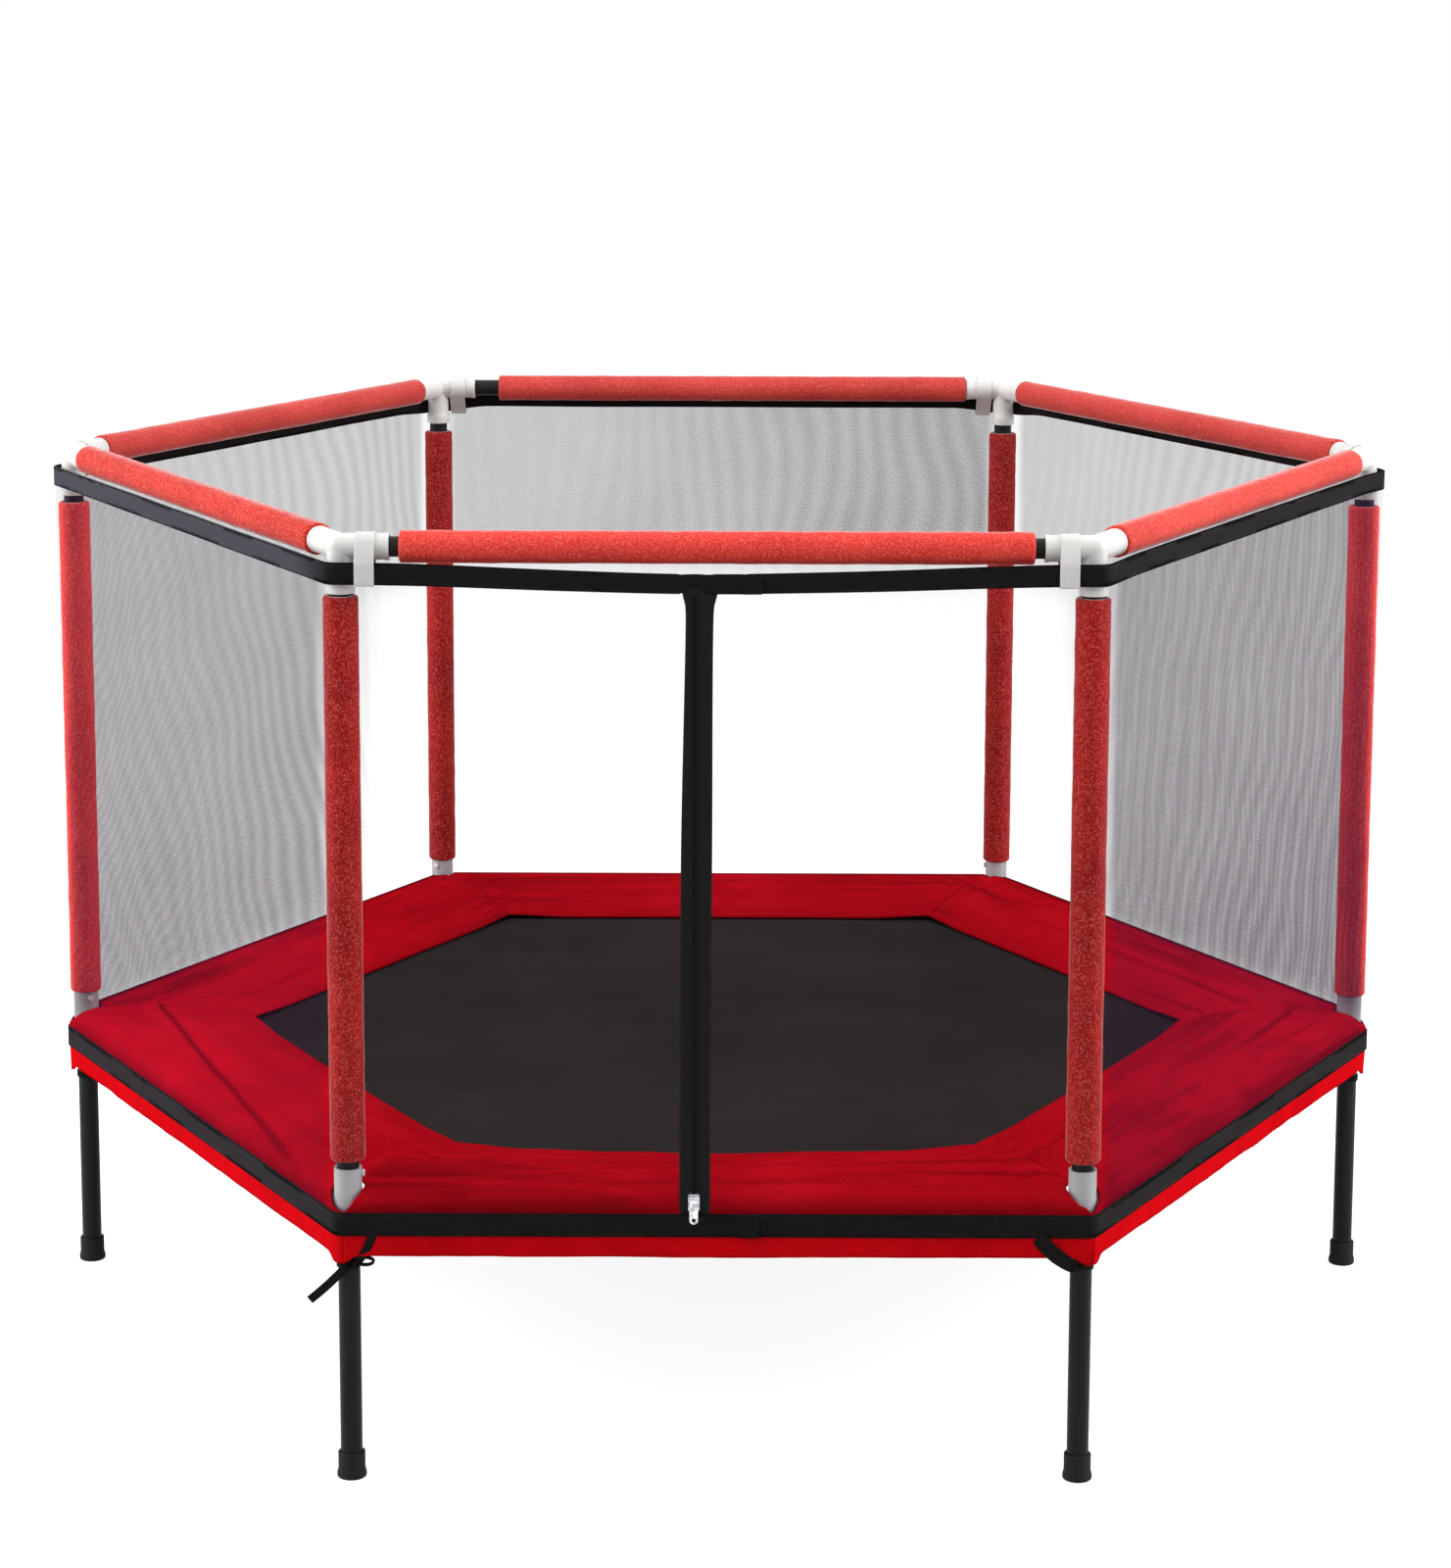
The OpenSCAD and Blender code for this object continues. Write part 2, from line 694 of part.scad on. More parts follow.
module zip_pull_body() {
    full = neck_length + shoulder;
    difference() {
        union() {
            translate([-knuckle_w / 2, -pin_u, pin_z]) rotate([0, 90, 0])
                cylinder(d = knuckle_d, h = knuckle_w, $fn = 32);
            translate([0, -pin_u + pull_t / 2, pin_z]) rotate([90, 0, 0]) linear_extrude(pull_t) {
                polygon([
                    [-knuckle_w / 2, 0], [knuckle_w / 2, 0], [knuckle_w / 2, -neck_length],
                    [pull_w / 2, -full], [pull_w / 2, pull_w / 2 - pull_length],
                    [-pull_w / 2, pull_w / 2 - pull_length], [-pull_w / 2, -full],
                    [-knuckle_w / 2, -neck_length]]);
                translate([0, pull_w / 2 - pull_length]) circle(d = pull_w);
            }
        }
        translate([-slider_w, -pin_u, pin_z]) rotate([0, 90, 0])
            cylinder(d = pin_d + 2 * slide_gap, h = 2 * slider_w, $fn = 24);
        translate([0, -pin_u + cut / 2, pin_z + pull_w / 2 - pull_length]) rotate([90, 0, 0])
            cylinder(d = hole_d, h = cut);
    }
}

// ---- ties ----

// The stretch of a tie that lies on the skirt, in the side's plane: [along the side, height].
module tie_strip() {
    foot = [tie_turn, skirt_z - tie_w + tie_t];
    head = [tie_spread, band_foot_z - soft_gap];
    linear_extrude(tie_t) polygon([
        foot - [tie_w / 2, 0], foot + [tie_w / 2, 0], head + [tie_w / 2, 0], head - [tie_w / 2, 0]]);
}

module leg_tie(end) {
    outer_r = post_d / 2 + soft_gap;
    out = cover_rail_r + cover_t + soft_gap;
    tube(2 * (outer_r + tie_t), tie_t, tie_z, tie_z + tie_w);
    rotate([0, 0, end * 120]) {
        translate([outer_r, -tie_w / 2, tie_z]) cube([tie_w, tie_w, tie_w]);
        ribbon([post_d / 2 + tie_w, 0, tie_z + tie_w / 2],
               [tie_turn, -end * (out + tie_t / 2), skirt_z - tie_w / 2 - tie_t], tie_w, tie_t);
        translate([0, end > 0 ? -out : out + tie_t, 0]) rotate([90, 0, 0]) tie_strip();
    }
}

// The middle line of the free end seen from the front, with t from 0 at the loop to 1 at its end.
function tail_point(t) = [-tail_reach * t, tie_z + tie_w / 2 - tail_fall * t * (1 + tail_bow * (1 - t))];

// Half the ribbon's width, square to that line.
function tail_half(t) =
    let (v = tail_point(t + 0.01) - tail_point(t - 0.01))
    [v.y, -v.x] / norm(v) * tie_w / 2;

module tail() {
    translate([post_circle_r * cos(front_left), post_circle_r * sin(front_left), 0])
        translate([0, -post_d / 2 - soft_gap - tie_t, 0]) rotate([90, 0, 0]) linear_extrude(tie_t)
            polygon([
                for (t = [0 : 0.1 : 1]) tail_point(t) + tail_half(t),
                for (t = [1 : -0.1 : 0]) tail_point(t) - tail_half(t)]);
}

// ---- nodes ----

module base_connector_at(angle) { color("lightgray") at_corner(angle) base_connector(); }
module base_connector_front_left() { base_connector_at(front_left); }
module base_connector_front_right() { base_connector_at(front_right); }
module base_connector_right() { base_connector_at(right); }
module base_connector_back_right() { base_connector_at(back_right); }
module base_connector_back_left() { base_connector_at(back_left); }
module base_connector_left() { base_connector_at(left); }

module leg_at(angle) { color([0.06, 0.06, 0.07]) at_corner(angle) leg(); }
module leg_front_left() { leg_at(front_left); }
module leg_front_right() { leg_at(front_right); }
module leg_right() { leg_at(right); }
module leg_back_right() { leg_at(back_right); }
module leg_back_left() { leg_at(back_left); }
module leg_left() { leg_at(left); }

module post_at(angle) { color([0.06, 0.06, 0.07]) at_corner(angle) post(); }
module post_front_left() { post_at(front_left); }
module post_front_right() { post_at(front_right); }
module post_right() { post_at(right); }
module post_back_right() { post_at(back_right); }
module post_back_left() { post_at(back_left); }
module post_left() { post_at(left); }

module top_elbow_at(angle) { color("white") at_corner(angle) top_elbow(); }
module top_elbow_front_left() { top_elbow_at(front_left); }
module top_elbow_front_right() { top_elbow_at(front_right); }
module top_elbow_right() { top_elbow_at(right); }
module top_elbow_back_right() { top_elbow_at(back_right); }
module top_elbow_back_left() { top_elbow_at(back_left); }
module top_elbow_left() { top_elbow_at(left); }

module base_rail_at(angle) { color([0.08, 0.08, 0.09]) at_side(angle) base_rail(); }
module base_rail_front() { base_rail_at(270); }
module base_rail_front_right() { base_rail_at(330); }
module base_rail_back_right() { base_rail_at(30); }
module base_rail_back() { base_rail_at(90); }
module base_rail_back_left() { base_rail_at(150); }
module base_rail_front_left() { base_rail_at(210); }

module net_at(angle) { color([0.75, 0.74, 0.77]) at_side(angle) net(-net_half, net_half, net_columns); }
module net_front_left_of_zip() {
    color([0.75, 0.74, 0.77]) at_side(front_side)
        net(-net_half, zip_x - zip_tape_w / 2, floor(net_columns / 2));
}
module net_front_right_of_zip() {
    color([0.75, 0.74, 0.77]) at_side(front_side)
        net(zip_x + zip_tape_w / 2, net_half, ceil(net_columns / 2));
}
module net_front_right() { net_at(330); }
module net_back_right() { net_at(30); }
module net_back() { net_at(90); }
module net_back_left() { net_at(150); }
module net_front_left() { net_at(210); }

module top_rails() { color([0.06, 0.06, 0.07]) for (side = sides) at_side(side) top_rail(); }
module foot_caps() { color([0.1, 0.1, 0.1]) for (corner = corners) at_corner(corner) foot_cap(); }
module post_foam_sleeves() {
    color([0.78, 0.2, 0.2]) {
        for (corner = [front_left, front_right]) at_corner(corner) post_foam(post_foam_lift);
        for (corner = [right, back_right, back_left, left]) at_corner(corner) post_foam(soft_gap);
    }
}
module rail_foam_sleeves() {
    color([0.9, 0.28, 0.24]) {
        at_side(front_side) rail_foam(front_foam_gap, front_foam_gap);
        at_side(back_side) rail_foam(back_foam_gap_right, back_foam_gap_left);
        for (side = [30, 150, 210, 330]) at_side(side) rail_foam(side_foam_gap, side_foam_gap);
    }
}
module top_hem() { color([0.05, 0.05, 0.05]) hexagon_band(hem_u, hem_t, net_top_z, top_hem_h); }
module bottom_band() { color([0.05, 0.05, 0.05]) hexagon_band(hem_u, hem_t, band_foot_z, band_h); }
module hem_straps() {
    color("white") {
        at_side(front_side) strap(-1);
        at_side(front_side) strap(1);
        at_side(30) strap(-1);
        at_side(150) strap(1);
        at_side(back_side) strap(-1);
        at_side(back_side) strap(1);
    }
}
module cover() { color([0.75, 0.06, 0.1]) cover_body(); }
module mat() { color([0.15, 0.13, 0.14]) mat_body(); }
module mat_rings() { color("silver") for (side = sides) at_side(side) along_side() mat_ring(); }
module springs() { color("silver") for (side = sides) at_side(side) along_side() spring(); }
module zip_tape() {
    color([0.05, 0.05, 0.05]) translate([zip_x - zip_tape_w / 2, -tape_out_u, band_top_z])
        cube([zip_tape_w, net_t, net_top_z - band_top_z]);
}
module zip_coil() {
    height = net_top_z - band_top_z;
    color([0.1, 0.1, 0.1]) translate([zip_x, 0, band_top_z]) {
        translate([-zip_web_w / 2, -coil_back_u - joint_lap, 0])
            cube([zip_web_w, zip_web_t + joint_lap, height]);
        translate([-zip_coil_w / 2, -coil_front_u, 0]) cube([zip_coil_w, zip_coil_t, height]);
    }
}
module zip_slider() { color("silver") translate([zip_x, 0, 0]) zip_slider_body(); }
module zip_pull() { color("silver") translate([zip_x, 0, 0]) zip_pull_body(); }
module leg_ties() {
    color([0.05, 0.05, 0.05]) for (corner = corners)
        at_corner(corner) leg_tie(corner == front_left || corner == right || corner == back_right ? 1 : -1);
}
module leg_tie_tail() { color([0.05, 0.05, 0.05]) tail(); }
module leg_screws() { color("silver") for (corner = corners) at_corner(corner) leg_screw(); }
module post_screws() { color("white") for (corner = corners) at_corner(corner) post_screw(); }

base_connector_front_left();
base_connector_front_right();
base_connector_right();
base_connector_back_right();
base_connector_back_left();
base_connector_left();
leg_front_left();
leg_front_right();
leg_right();
leg_back_right();
leg_back_left();
leg_left();
post_front_left();
post_front_right();
post_right();
post_back_right();
post_back_left();
post_left();
top_elbow_front_left();
top_elbow_front_right();
top_elbow_right();
top_elbow_back_right();
top_elbow_back_left();
top_elbow_left();
base_rail_front();
base_rail_front_right();
base_rail_back_right();
base_rail_back();
base_rail_back_left();
base_rail_front_left();
net_front_left_of_zip();
net_front_right_of_zip();
net_front_right();
net_back_right();
net_back();
net_back_left();
net_front_left();
top_rails();
foot_caps();
post_foam_sleeves();
rail_foam_sleeves();
top_hem();
bottom_band();
hem_straps();
cover();
mat();
mat_rings();
springs();
zip_tape();
zip_coil();
zip_slider();
zip_pull();
leg_ties();
leg_tie_tail();
leg_screws();
post_screws();
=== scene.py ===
"""Looks of a hexagonal trampoline with a zipped net enclosure. Metres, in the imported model's frame."""

import math

import bpy
import numpy as np
from mathutils import Matrix, Vector, noise

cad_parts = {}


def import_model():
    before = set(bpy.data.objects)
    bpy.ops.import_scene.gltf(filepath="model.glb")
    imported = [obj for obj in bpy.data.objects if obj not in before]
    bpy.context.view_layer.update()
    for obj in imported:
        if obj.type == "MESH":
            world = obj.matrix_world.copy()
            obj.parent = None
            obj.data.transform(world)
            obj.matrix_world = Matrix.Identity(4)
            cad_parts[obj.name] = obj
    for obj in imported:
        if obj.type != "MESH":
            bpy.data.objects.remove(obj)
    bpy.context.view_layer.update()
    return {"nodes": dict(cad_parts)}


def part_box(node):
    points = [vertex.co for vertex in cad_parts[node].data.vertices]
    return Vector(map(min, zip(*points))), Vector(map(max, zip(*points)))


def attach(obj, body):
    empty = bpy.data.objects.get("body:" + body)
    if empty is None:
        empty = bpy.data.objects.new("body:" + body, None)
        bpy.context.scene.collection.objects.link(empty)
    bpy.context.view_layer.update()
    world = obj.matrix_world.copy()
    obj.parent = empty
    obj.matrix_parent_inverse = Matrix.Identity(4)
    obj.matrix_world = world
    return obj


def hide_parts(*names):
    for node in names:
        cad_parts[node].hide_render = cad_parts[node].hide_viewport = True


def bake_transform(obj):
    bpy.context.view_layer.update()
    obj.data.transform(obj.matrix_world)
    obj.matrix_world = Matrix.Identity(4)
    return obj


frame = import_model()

# ---------------------------------------------------------------- sizes, from the frame

# u is the distance from the middle, square to a side. v is the place along the side from its centre, and
# q the same on a way that rounds the corners. SIDES and CORNERS hold the degrees that each one faces.
# HEM_SAG, NET_BILLOW and COVER_FOLDS hold one value for each of SIDES, in that order.

MM = 0.001
COS30, TAN30 = math.cos(math.radians(30)), math.tan(math.radians(30))
SIDES = {"front": 270, "front_right": 330, "back_right": 30, "back": 90, "back_left": 150, "front_left": 210}
CORNERS = {"front_right": 300, "right": 0, "back_right": 60, "back_left": 120, "left": 180, "front_left": 240}
SIDE_NAMES = list(SIDES)


def span(node, axis):
    """Lowest and highest place of a CAD node along an axis."""
    low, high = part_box(node)
    return low[axis], high[axis]


def middle(node, axis):
    return sum(span(node, axis)) / 2


def breadth(node, axis):
    low, high = span(node, axis)
    return high - low


RAIL_Z = middle("base_rail_front", 2)
RAIL_R = breadth("base_rail_front", 2) / 2
APOTHEM = -middle("base_rail_front", 1)
POST_R = APOTHEM / COS30
POST_TUBE_R = breadth("post_right", 0) / 2
TOP_RAIL_Z = middle("top_rails", 2)
TOP_RAIL_R = breadth("top_rails", 2) / 2
ELBOW_R = 13.5 * MM
POST_FOAM_Z = span("post_foam_sleeves", 2)
POST_FOAM_SLIP = 5.7 * MM  # room over the sleeves; the two front ones are held up by as much
POST_FOAM_R = span("post_foam_sleeves", 0)[1] - POST_R
POST_FOAM_PRESS = 3 * MM
RAIL_FOAM_R = breadth("rail_foam_sleeves", 2) / 2
RAIL_FOAM_GAPS = {"front": (10 * MM, 10 * MM), "back": (1 * MM, 32 * MM)}  # at a sleeve's two ends
RAIL_FOAM_GAP = 0.5 * MM
ELBOW_REACH = 50 * MM
FOAM_BORE_GAP = 0.2 * MM

HEM_OUT_U = span("top_hem", 1)[1]
HEM_T = 3 * MM
HEM_U = HEM_OUT_U - HEM_T / 2
HEM_Z = span("top_hem", 2)
BAND_Z = span("bottom_band", 2)
BAND_CORNER_R = 12 * MM
HEM_SAG = 9.5 * MM, -2 * MM, -6 * MM, -8 * MM, -4 * MM, 0.0
NET_BILLOW = 0.5, 1.6, 2.2, 1.5, 2.2, 1.8
SEAM_Q, SEAM_LAP = 31 * MM, 14 * MM  # where hem and band are closed on the front side
ZIP_NOTCH = 11 * MM, 9 * MM  # half width and height of the room that the hem leaves for the slider
WEB_PITCH = 1.5 * MM
NET_PITCH = 1.9 * MM
SHEER, SHEER_Z = 0.12, (690 * MM, 800 * MM)

SKIRT_Z = span("cover", 2)[0]
COVER_T = 2.2 * MM
COVER_IN_U = 485 * MM
COVER_RAIL_R = RAIL_R + 2.7 * MM
COVER_BOW = {"front": 24 * MM, "front_left": 4 * MM, "front_right": 4 * MM}  # inner edges drawn outward
SEAM_SHIFT = {("front", -1): -6 * MM, ("front_left", 1): 6 * MM}  # of the slots at the front left post
COVER_FOLDS = 1.6, 3.6, 2.4, 2.0, 6.5, 1.6
COVER_HELD_U, COVER_FREE_U = 645 * MM, 495 * MM  # places on the pad, from the middle: one by the rail and one by the mat
CREASE = (-332 * MM, 102 * MM), (285 * MM, 194 * MM)  # see coated_cloth
# Distances from the inner edge over which the back pads are painted into shadow, in coated_cloth.
DARK_RIM = 163 * MM, 180 * MM
CROWN_IN, CROWN_H = 66 * MM, 5 * MM
ROLL_START = 80  # degrees above level, where the pad starts to roll down over the rail
SKIRT_U = APOTHEM + COVER_RAIL_R
SKIRT_CORNER_R = 11 * MM
CUT_R = 17 * MM  # of the cut-outs round the posts

MAT_Z = middle("mat", 2)
MAT_R = span("mat", 0)[1]
MAT_APOTHEM = MAT_R * COS30
MAT_T = 1.4 * MM
BORDER_W = 30 * MM
SPRINGS_PER_SIDE = 6
SPRING_PITCH = 95 * MM
WIRE_R = 1.3 * MM
COIL_R = 5 * MM
COIL_IN_U, COIL_OUT_U = MAT_APOTHEM + 40.25 * MM, APOTHEM - RAIL_R - 14 * MM
EYE_U, EYE_R = MAT_APOTHEM + 28.25 * MM, 5 * MM
HOOK_U, HOOK_TIP = APOTHEM - RAIL_R + 3.8 * MM, 4 * MM
SPRING_HELD_U, SPRING_FREE_U = 640 * MM, 553 * MM  # places along a spring, from the middle: one by the rail and one by the mat
COIL_WINDS = 22
RING_BAR_U = MAT_APOTHEM + 5 * MM
TAB_W, TAB_BACK, TAB_T = 17 * MM, 22 * MM, 1.1 * MM
TAB_LIFT, TAB_BEND_R = 2.9 * MM, 2.4 * MM

ZIP_X = middle("zip_tape", 0)
ZIP_W = breadth("zip_tape", 0)
TAPE_U = -span("zip_tape", 1)[0]
COIL_FRONT_U = -span("zip_coil", 1)[0]
STRAP_PLACE = 354 * MM
STRAP_W = 20 * MM
STRAP_T = 1.3 * MM
TIE_Z = span("leg_ties", 2)[0]
TIE_W = 7 * MM
TIE_ENDS = {"front_left": 1, "right": 1, "back_right": 1}  # the ribbon's way from the post, or else -1
# A ribbon's reach along the side, its width as a share of TIE_W, and the length of its bow.
TIE_RIBBONS = {"front_left": (26 * MM, 1.3, 9 * MM), "front_right": (46 * MM, 2.1, 0)}
TIE_RIBBON = 40 * MM, 1.0, 5 * MM

# ---------------------------------------------------------------- mesh helpers


def smooth_step(t):
    t = np.clip(t, 0, 1)
    return t * t * (3 - 2 * t)


def around(count):
    """Angles spread evenly over a full turn."""
    return np.arange(count) * 2 * math.pi / count


def heading(angle):
    """The level direction at this many degrees from the right."""
    a = math.radians(angle)
    return np.array([math.cos(a), math.sin(a), 0])


def on_side(angle, u, v, z):
    """Points at distance u from the centre and v along the side that faces this angle."""
    a = math.radians(angle)
    u, v, z = np.broadcast_arrays(u, v, z)
    return np.stack([u * math.cos(a) - v * math.sin(a), u * math.sin(a) + v * math.cos(a), z], axis=-1)


def perlin(x, y, z=0.0):
    """Perlin noise, elementwise."""
    x, y, z = np.broadcast_arrays(x, y, z)
    flat = [noise.noise((a, b, c)) for a, b, c in zip(x.ravel(), y.ravel(), z.ravel())]
    return np.array(flat).reshape(x.shape)


def mesh_object(name, vertices, faces, uv=None):
    """A smooth mesh object; uv holds one pair of metres for each vertex."""
    mesh = bpy.data.meshes.new(name)
    mesh.from_pydata(np.asarray(vertices, float).reshape(-1, 3).tolist(), [], faces)
    if uv is not None:
        corners = np.zeros(len(mesh.loops), int)
        mesh.loops.foreach_get("vertex_index", corners)
        layer = mesh.uv_layers.new(name="metres")
        layer.data.foreach_set("uv", np.asarray(uv, np.float32).reshape(-1, 2)[corners].ravel())
    mesh.polygons.foreach_set("use_smooth", [True] * len(mesh.polygons))
    mesh.update()
    obj = bpy.data.objects.new(name, mesh)
    bpy.context.scene.collection.objects.link(obj)
    return obj


def grid_faces(rows, columns, close_rows=False, close_columns=False):
    """Faces of a grid of vertices stored row by row."""
    faces = []
    for i in range(rows if close_rows else rows - 1):
        k = (i + 1) % rows
        for j in range(columns if close_columns else columns - 1):
            n = (j + 1) % columns
            faces.append((i * columns + j, i * columns + n, k * columns + n, k * columns + j))
    return faces


def end_faces(rows, columns):
    """The two faces that close a tube made by grid_faces."""
    last = (rows - 1) * columns
    return [tuple(range(columns))[::-1], tuple(range(last, last + columns))]


def join(parts):
    """One (vertices, faces, uv) from several; uv is None where they have none."""
    vertices, faces, uvs, count = [], [], [], 0
    for points, part_faces, *uv in parts:
        points = np.asarray(points, float).reshape(-1, 3)
        vertices.append(points)
        faces += [tuple(i + count for i in face) for face in part_faces]
        uvs += [np.asarray(layer, float).reshape(-1, 2) for layer in uv]
        count += len(points)
    return np.concatenate(vertices), faces, np.concatenate(uvs) if uvs else None


def thicken(obj, thickness, offset):
    """Gives a sheet its thickness: below its face where offset is -1, on both sides of it where 0."""
    solid = obj.modifiers.new("thickness", "SOLIDIFY")
    solid.thickness = thickness
    solid.offset = offset


def frames_along(path):
    """Two directions square to a path at each of its points, turned as little as possible."""
    tangents = np.gradient(path, axis=0)
    tangents /= np.linalg.norm(tangents, axis=1)[:, None]
    n = np.array([0, 0, 1.0]) if abs(tangents[0][2]) < 0.9 else np.array([1.0, 0, 0])
    normals = []
    for t in tangents:
        n = n - t * (n @ t)
        n /= np.linalg.norm(n)
        normals.append(n)
    normals = np.array(normals)
    return normals, np.cross(tangents, normals)


def rod(path, radius, sides):
    """A round wire along a path, closed at both ends."""
    path = np.asarray(path, float)
    n, b = frames_along(path)
    angles = around(sides)
    ring = n[:, None] * np.cos(angles)[None, :, None] + b[:, None] * np.sin(angles)[None, :, None]
    vertices = path[:, None] + ring * radius
    faces = grid_faces(len(path), sides, close_columns=True) + end_faces(len(path), sides)
    return vertices.reshape(-1, 3), faces


def strap_section(thickness):
    """A flat strap's outline: height over its middle, share of its half width, inset from there."""
    r = thickness * 0.45
    outline = []
    for turn, (x, y) in enumerate([(1, 1), (-1, 1), (-1, -1), (1, -1)]):
        for a in np.radians([90 * turn, 90 * turn + 45, 90 * turn + 90]):
            outline.append((x * (thickness / 2 - r) + r * math.cos(a), y, -y * r + r * math.sin(a)))
        if turn % 2:
            outline += [(x * thickness / 2, -x * share, 0.0) for share in (0.93, 0.5, 0.0, -0.5, -0.93)]
    return np.array(outline)


def strap(path, out, width, thickness, closed=False):
    """A flat strap along a path; out holds the direction that its face looks at each point."""
    path, out = np.asarray(path, float), np.asarray(out, float)
    if closed:
        tangents = np.roll(path, -1, 0) - np.roll(path, 1, 0)
    else:
        tangents = np.gradient(path, axis=0)
    tangents /= np.linalg.norm(tangents, axis=1)[:, None]
    out = out - tangents * np.sum(out * tangents, axis=1)[:, None]
    out /= np.linalg.norm(out, axis=1)[:, None]
    wide = np.cross(tangents, out)
    section = strap_section(thickness)
    half = np.broadcast_to(np.asarray(width, float) / 2, len(path))
    sideways = section[None, :, 1] * half[:, None] + section[None, :, 2]
    vertices = path[:, None] + out[:, None] * section[None, :, :1] + wide[:, None] * sideways[..., None]
    steps = np.r_[0, np.cumsum(np.linalg.norm(np.diff(path, axis=0), axis=1))]
    uv = np.stack(np.broadcast_arrays(steps[:, None], sideways), axis=-1)
    count = len(section)
    faces = grid_faces(len(path), count, close_rows=closed, close_columns=True)
    if not closed:
        faces += end_faces(len(path), count)
    return vertices.reshape(-1, 3), faces, uv.reshape(-1, 2)


def side_path(u, r, q):
    """(u, v, turn) of a point q along a side of a hexagon with corners rounded to r."""
    q = np.asarray(q, float)
    straight = (u - r) * TAN30
    over = np.maximum(np.abs(q) - straight, 0) / r
    sign = np.sign(q)
    v = sign * (np.minimum(np.abs(q), straight) + r * np.sin(over))
    return (u - r) + r * np.cos(over), v, sign * over


def half_side(u, r):
    """Half the length of such a side, from its middle to the corner's."""
    return (u - r) * TAN30 + r * math.pi / 6


def ring_path(u, r, q):
    """Points, outward directions, side numbers and places on the side, q metres along a rounded hexagon."""
    whole = 2 * half_side(u, r)
    side = np.floor((q + whole / 2) / whole).astype(int)
    local = q - side * whole
    uu, vv, turn = side_path(u, r, local)
    a = np.radians(270 + 60 * side)
    points = np.stack([uu * np.cos(a) - vv * np.sin(a), uu * np.sin(a) + vv * np.cos(a)], axis=-1)
    out = np.stack([np.cos(a + turn), np.sin(a + turn)], axis=-1)
    return points, out, side % 6, local


# ---------------------------------------------------------------- material helpers


def srgb(r, g, b):
    """A display colour from 0 to 255 as the linear colour that shows so."""
    def linear(c):
        c /= 255
        return c / 12.92 if c <= 0.04045 else ((c + 0.055) / 1.055) ** 2.4
    return linear(r), linear(g), linear(b), 1.0


class Tree:
    """The nodes of a material or a world, with short calls that add to them."""

    def __init__(self, owner):
        owner.use_nodes = True
        self.nodes, self.links = owner.node_tree.nodes, owner.node_tree.links
        self.nodes.clear()

    def feed(self, socket, value):
        if isinstance(value, bpy.types.NodeSocket):
            self.links.new(value, socket)
        elif value is not None:
            socket.default_value = value

    def add(self, kind, inputs=(), **properties):
        """A new shader node; inputs pairs its sockets with values or with other nodes' outputs."""
        node = self.nodes.new("ShaderNode" + kind)
        for key, value in properties.items():
            setattr(node, key, value)
        for key, value in dict(inputs).items():
            self.feed(node.inputs[key], value)
        return node

    def maths(self, operation, a, b=0.0, clamp=False):
        return self.add("Math", {0: a, 1: b}, operation=operation, use_clamp=clamp).outputs[0]

    def times(self, a, b, clamp=False):
        return self.maths("MULTIPLY", a, b, clamp)

    def seen(self):
        """1 for what the camera sees, directly, in a gloss or through a glass, and 0 for other light."""
        rays = self.add("LightPath").outputs
        direct = self.maths("MAXIMUM", rays["Is Camera Ray"], rays["Is Glossy Ray"])
        return self.maths("MAXIMUM", direct, rays["Is Transmission Ray"])


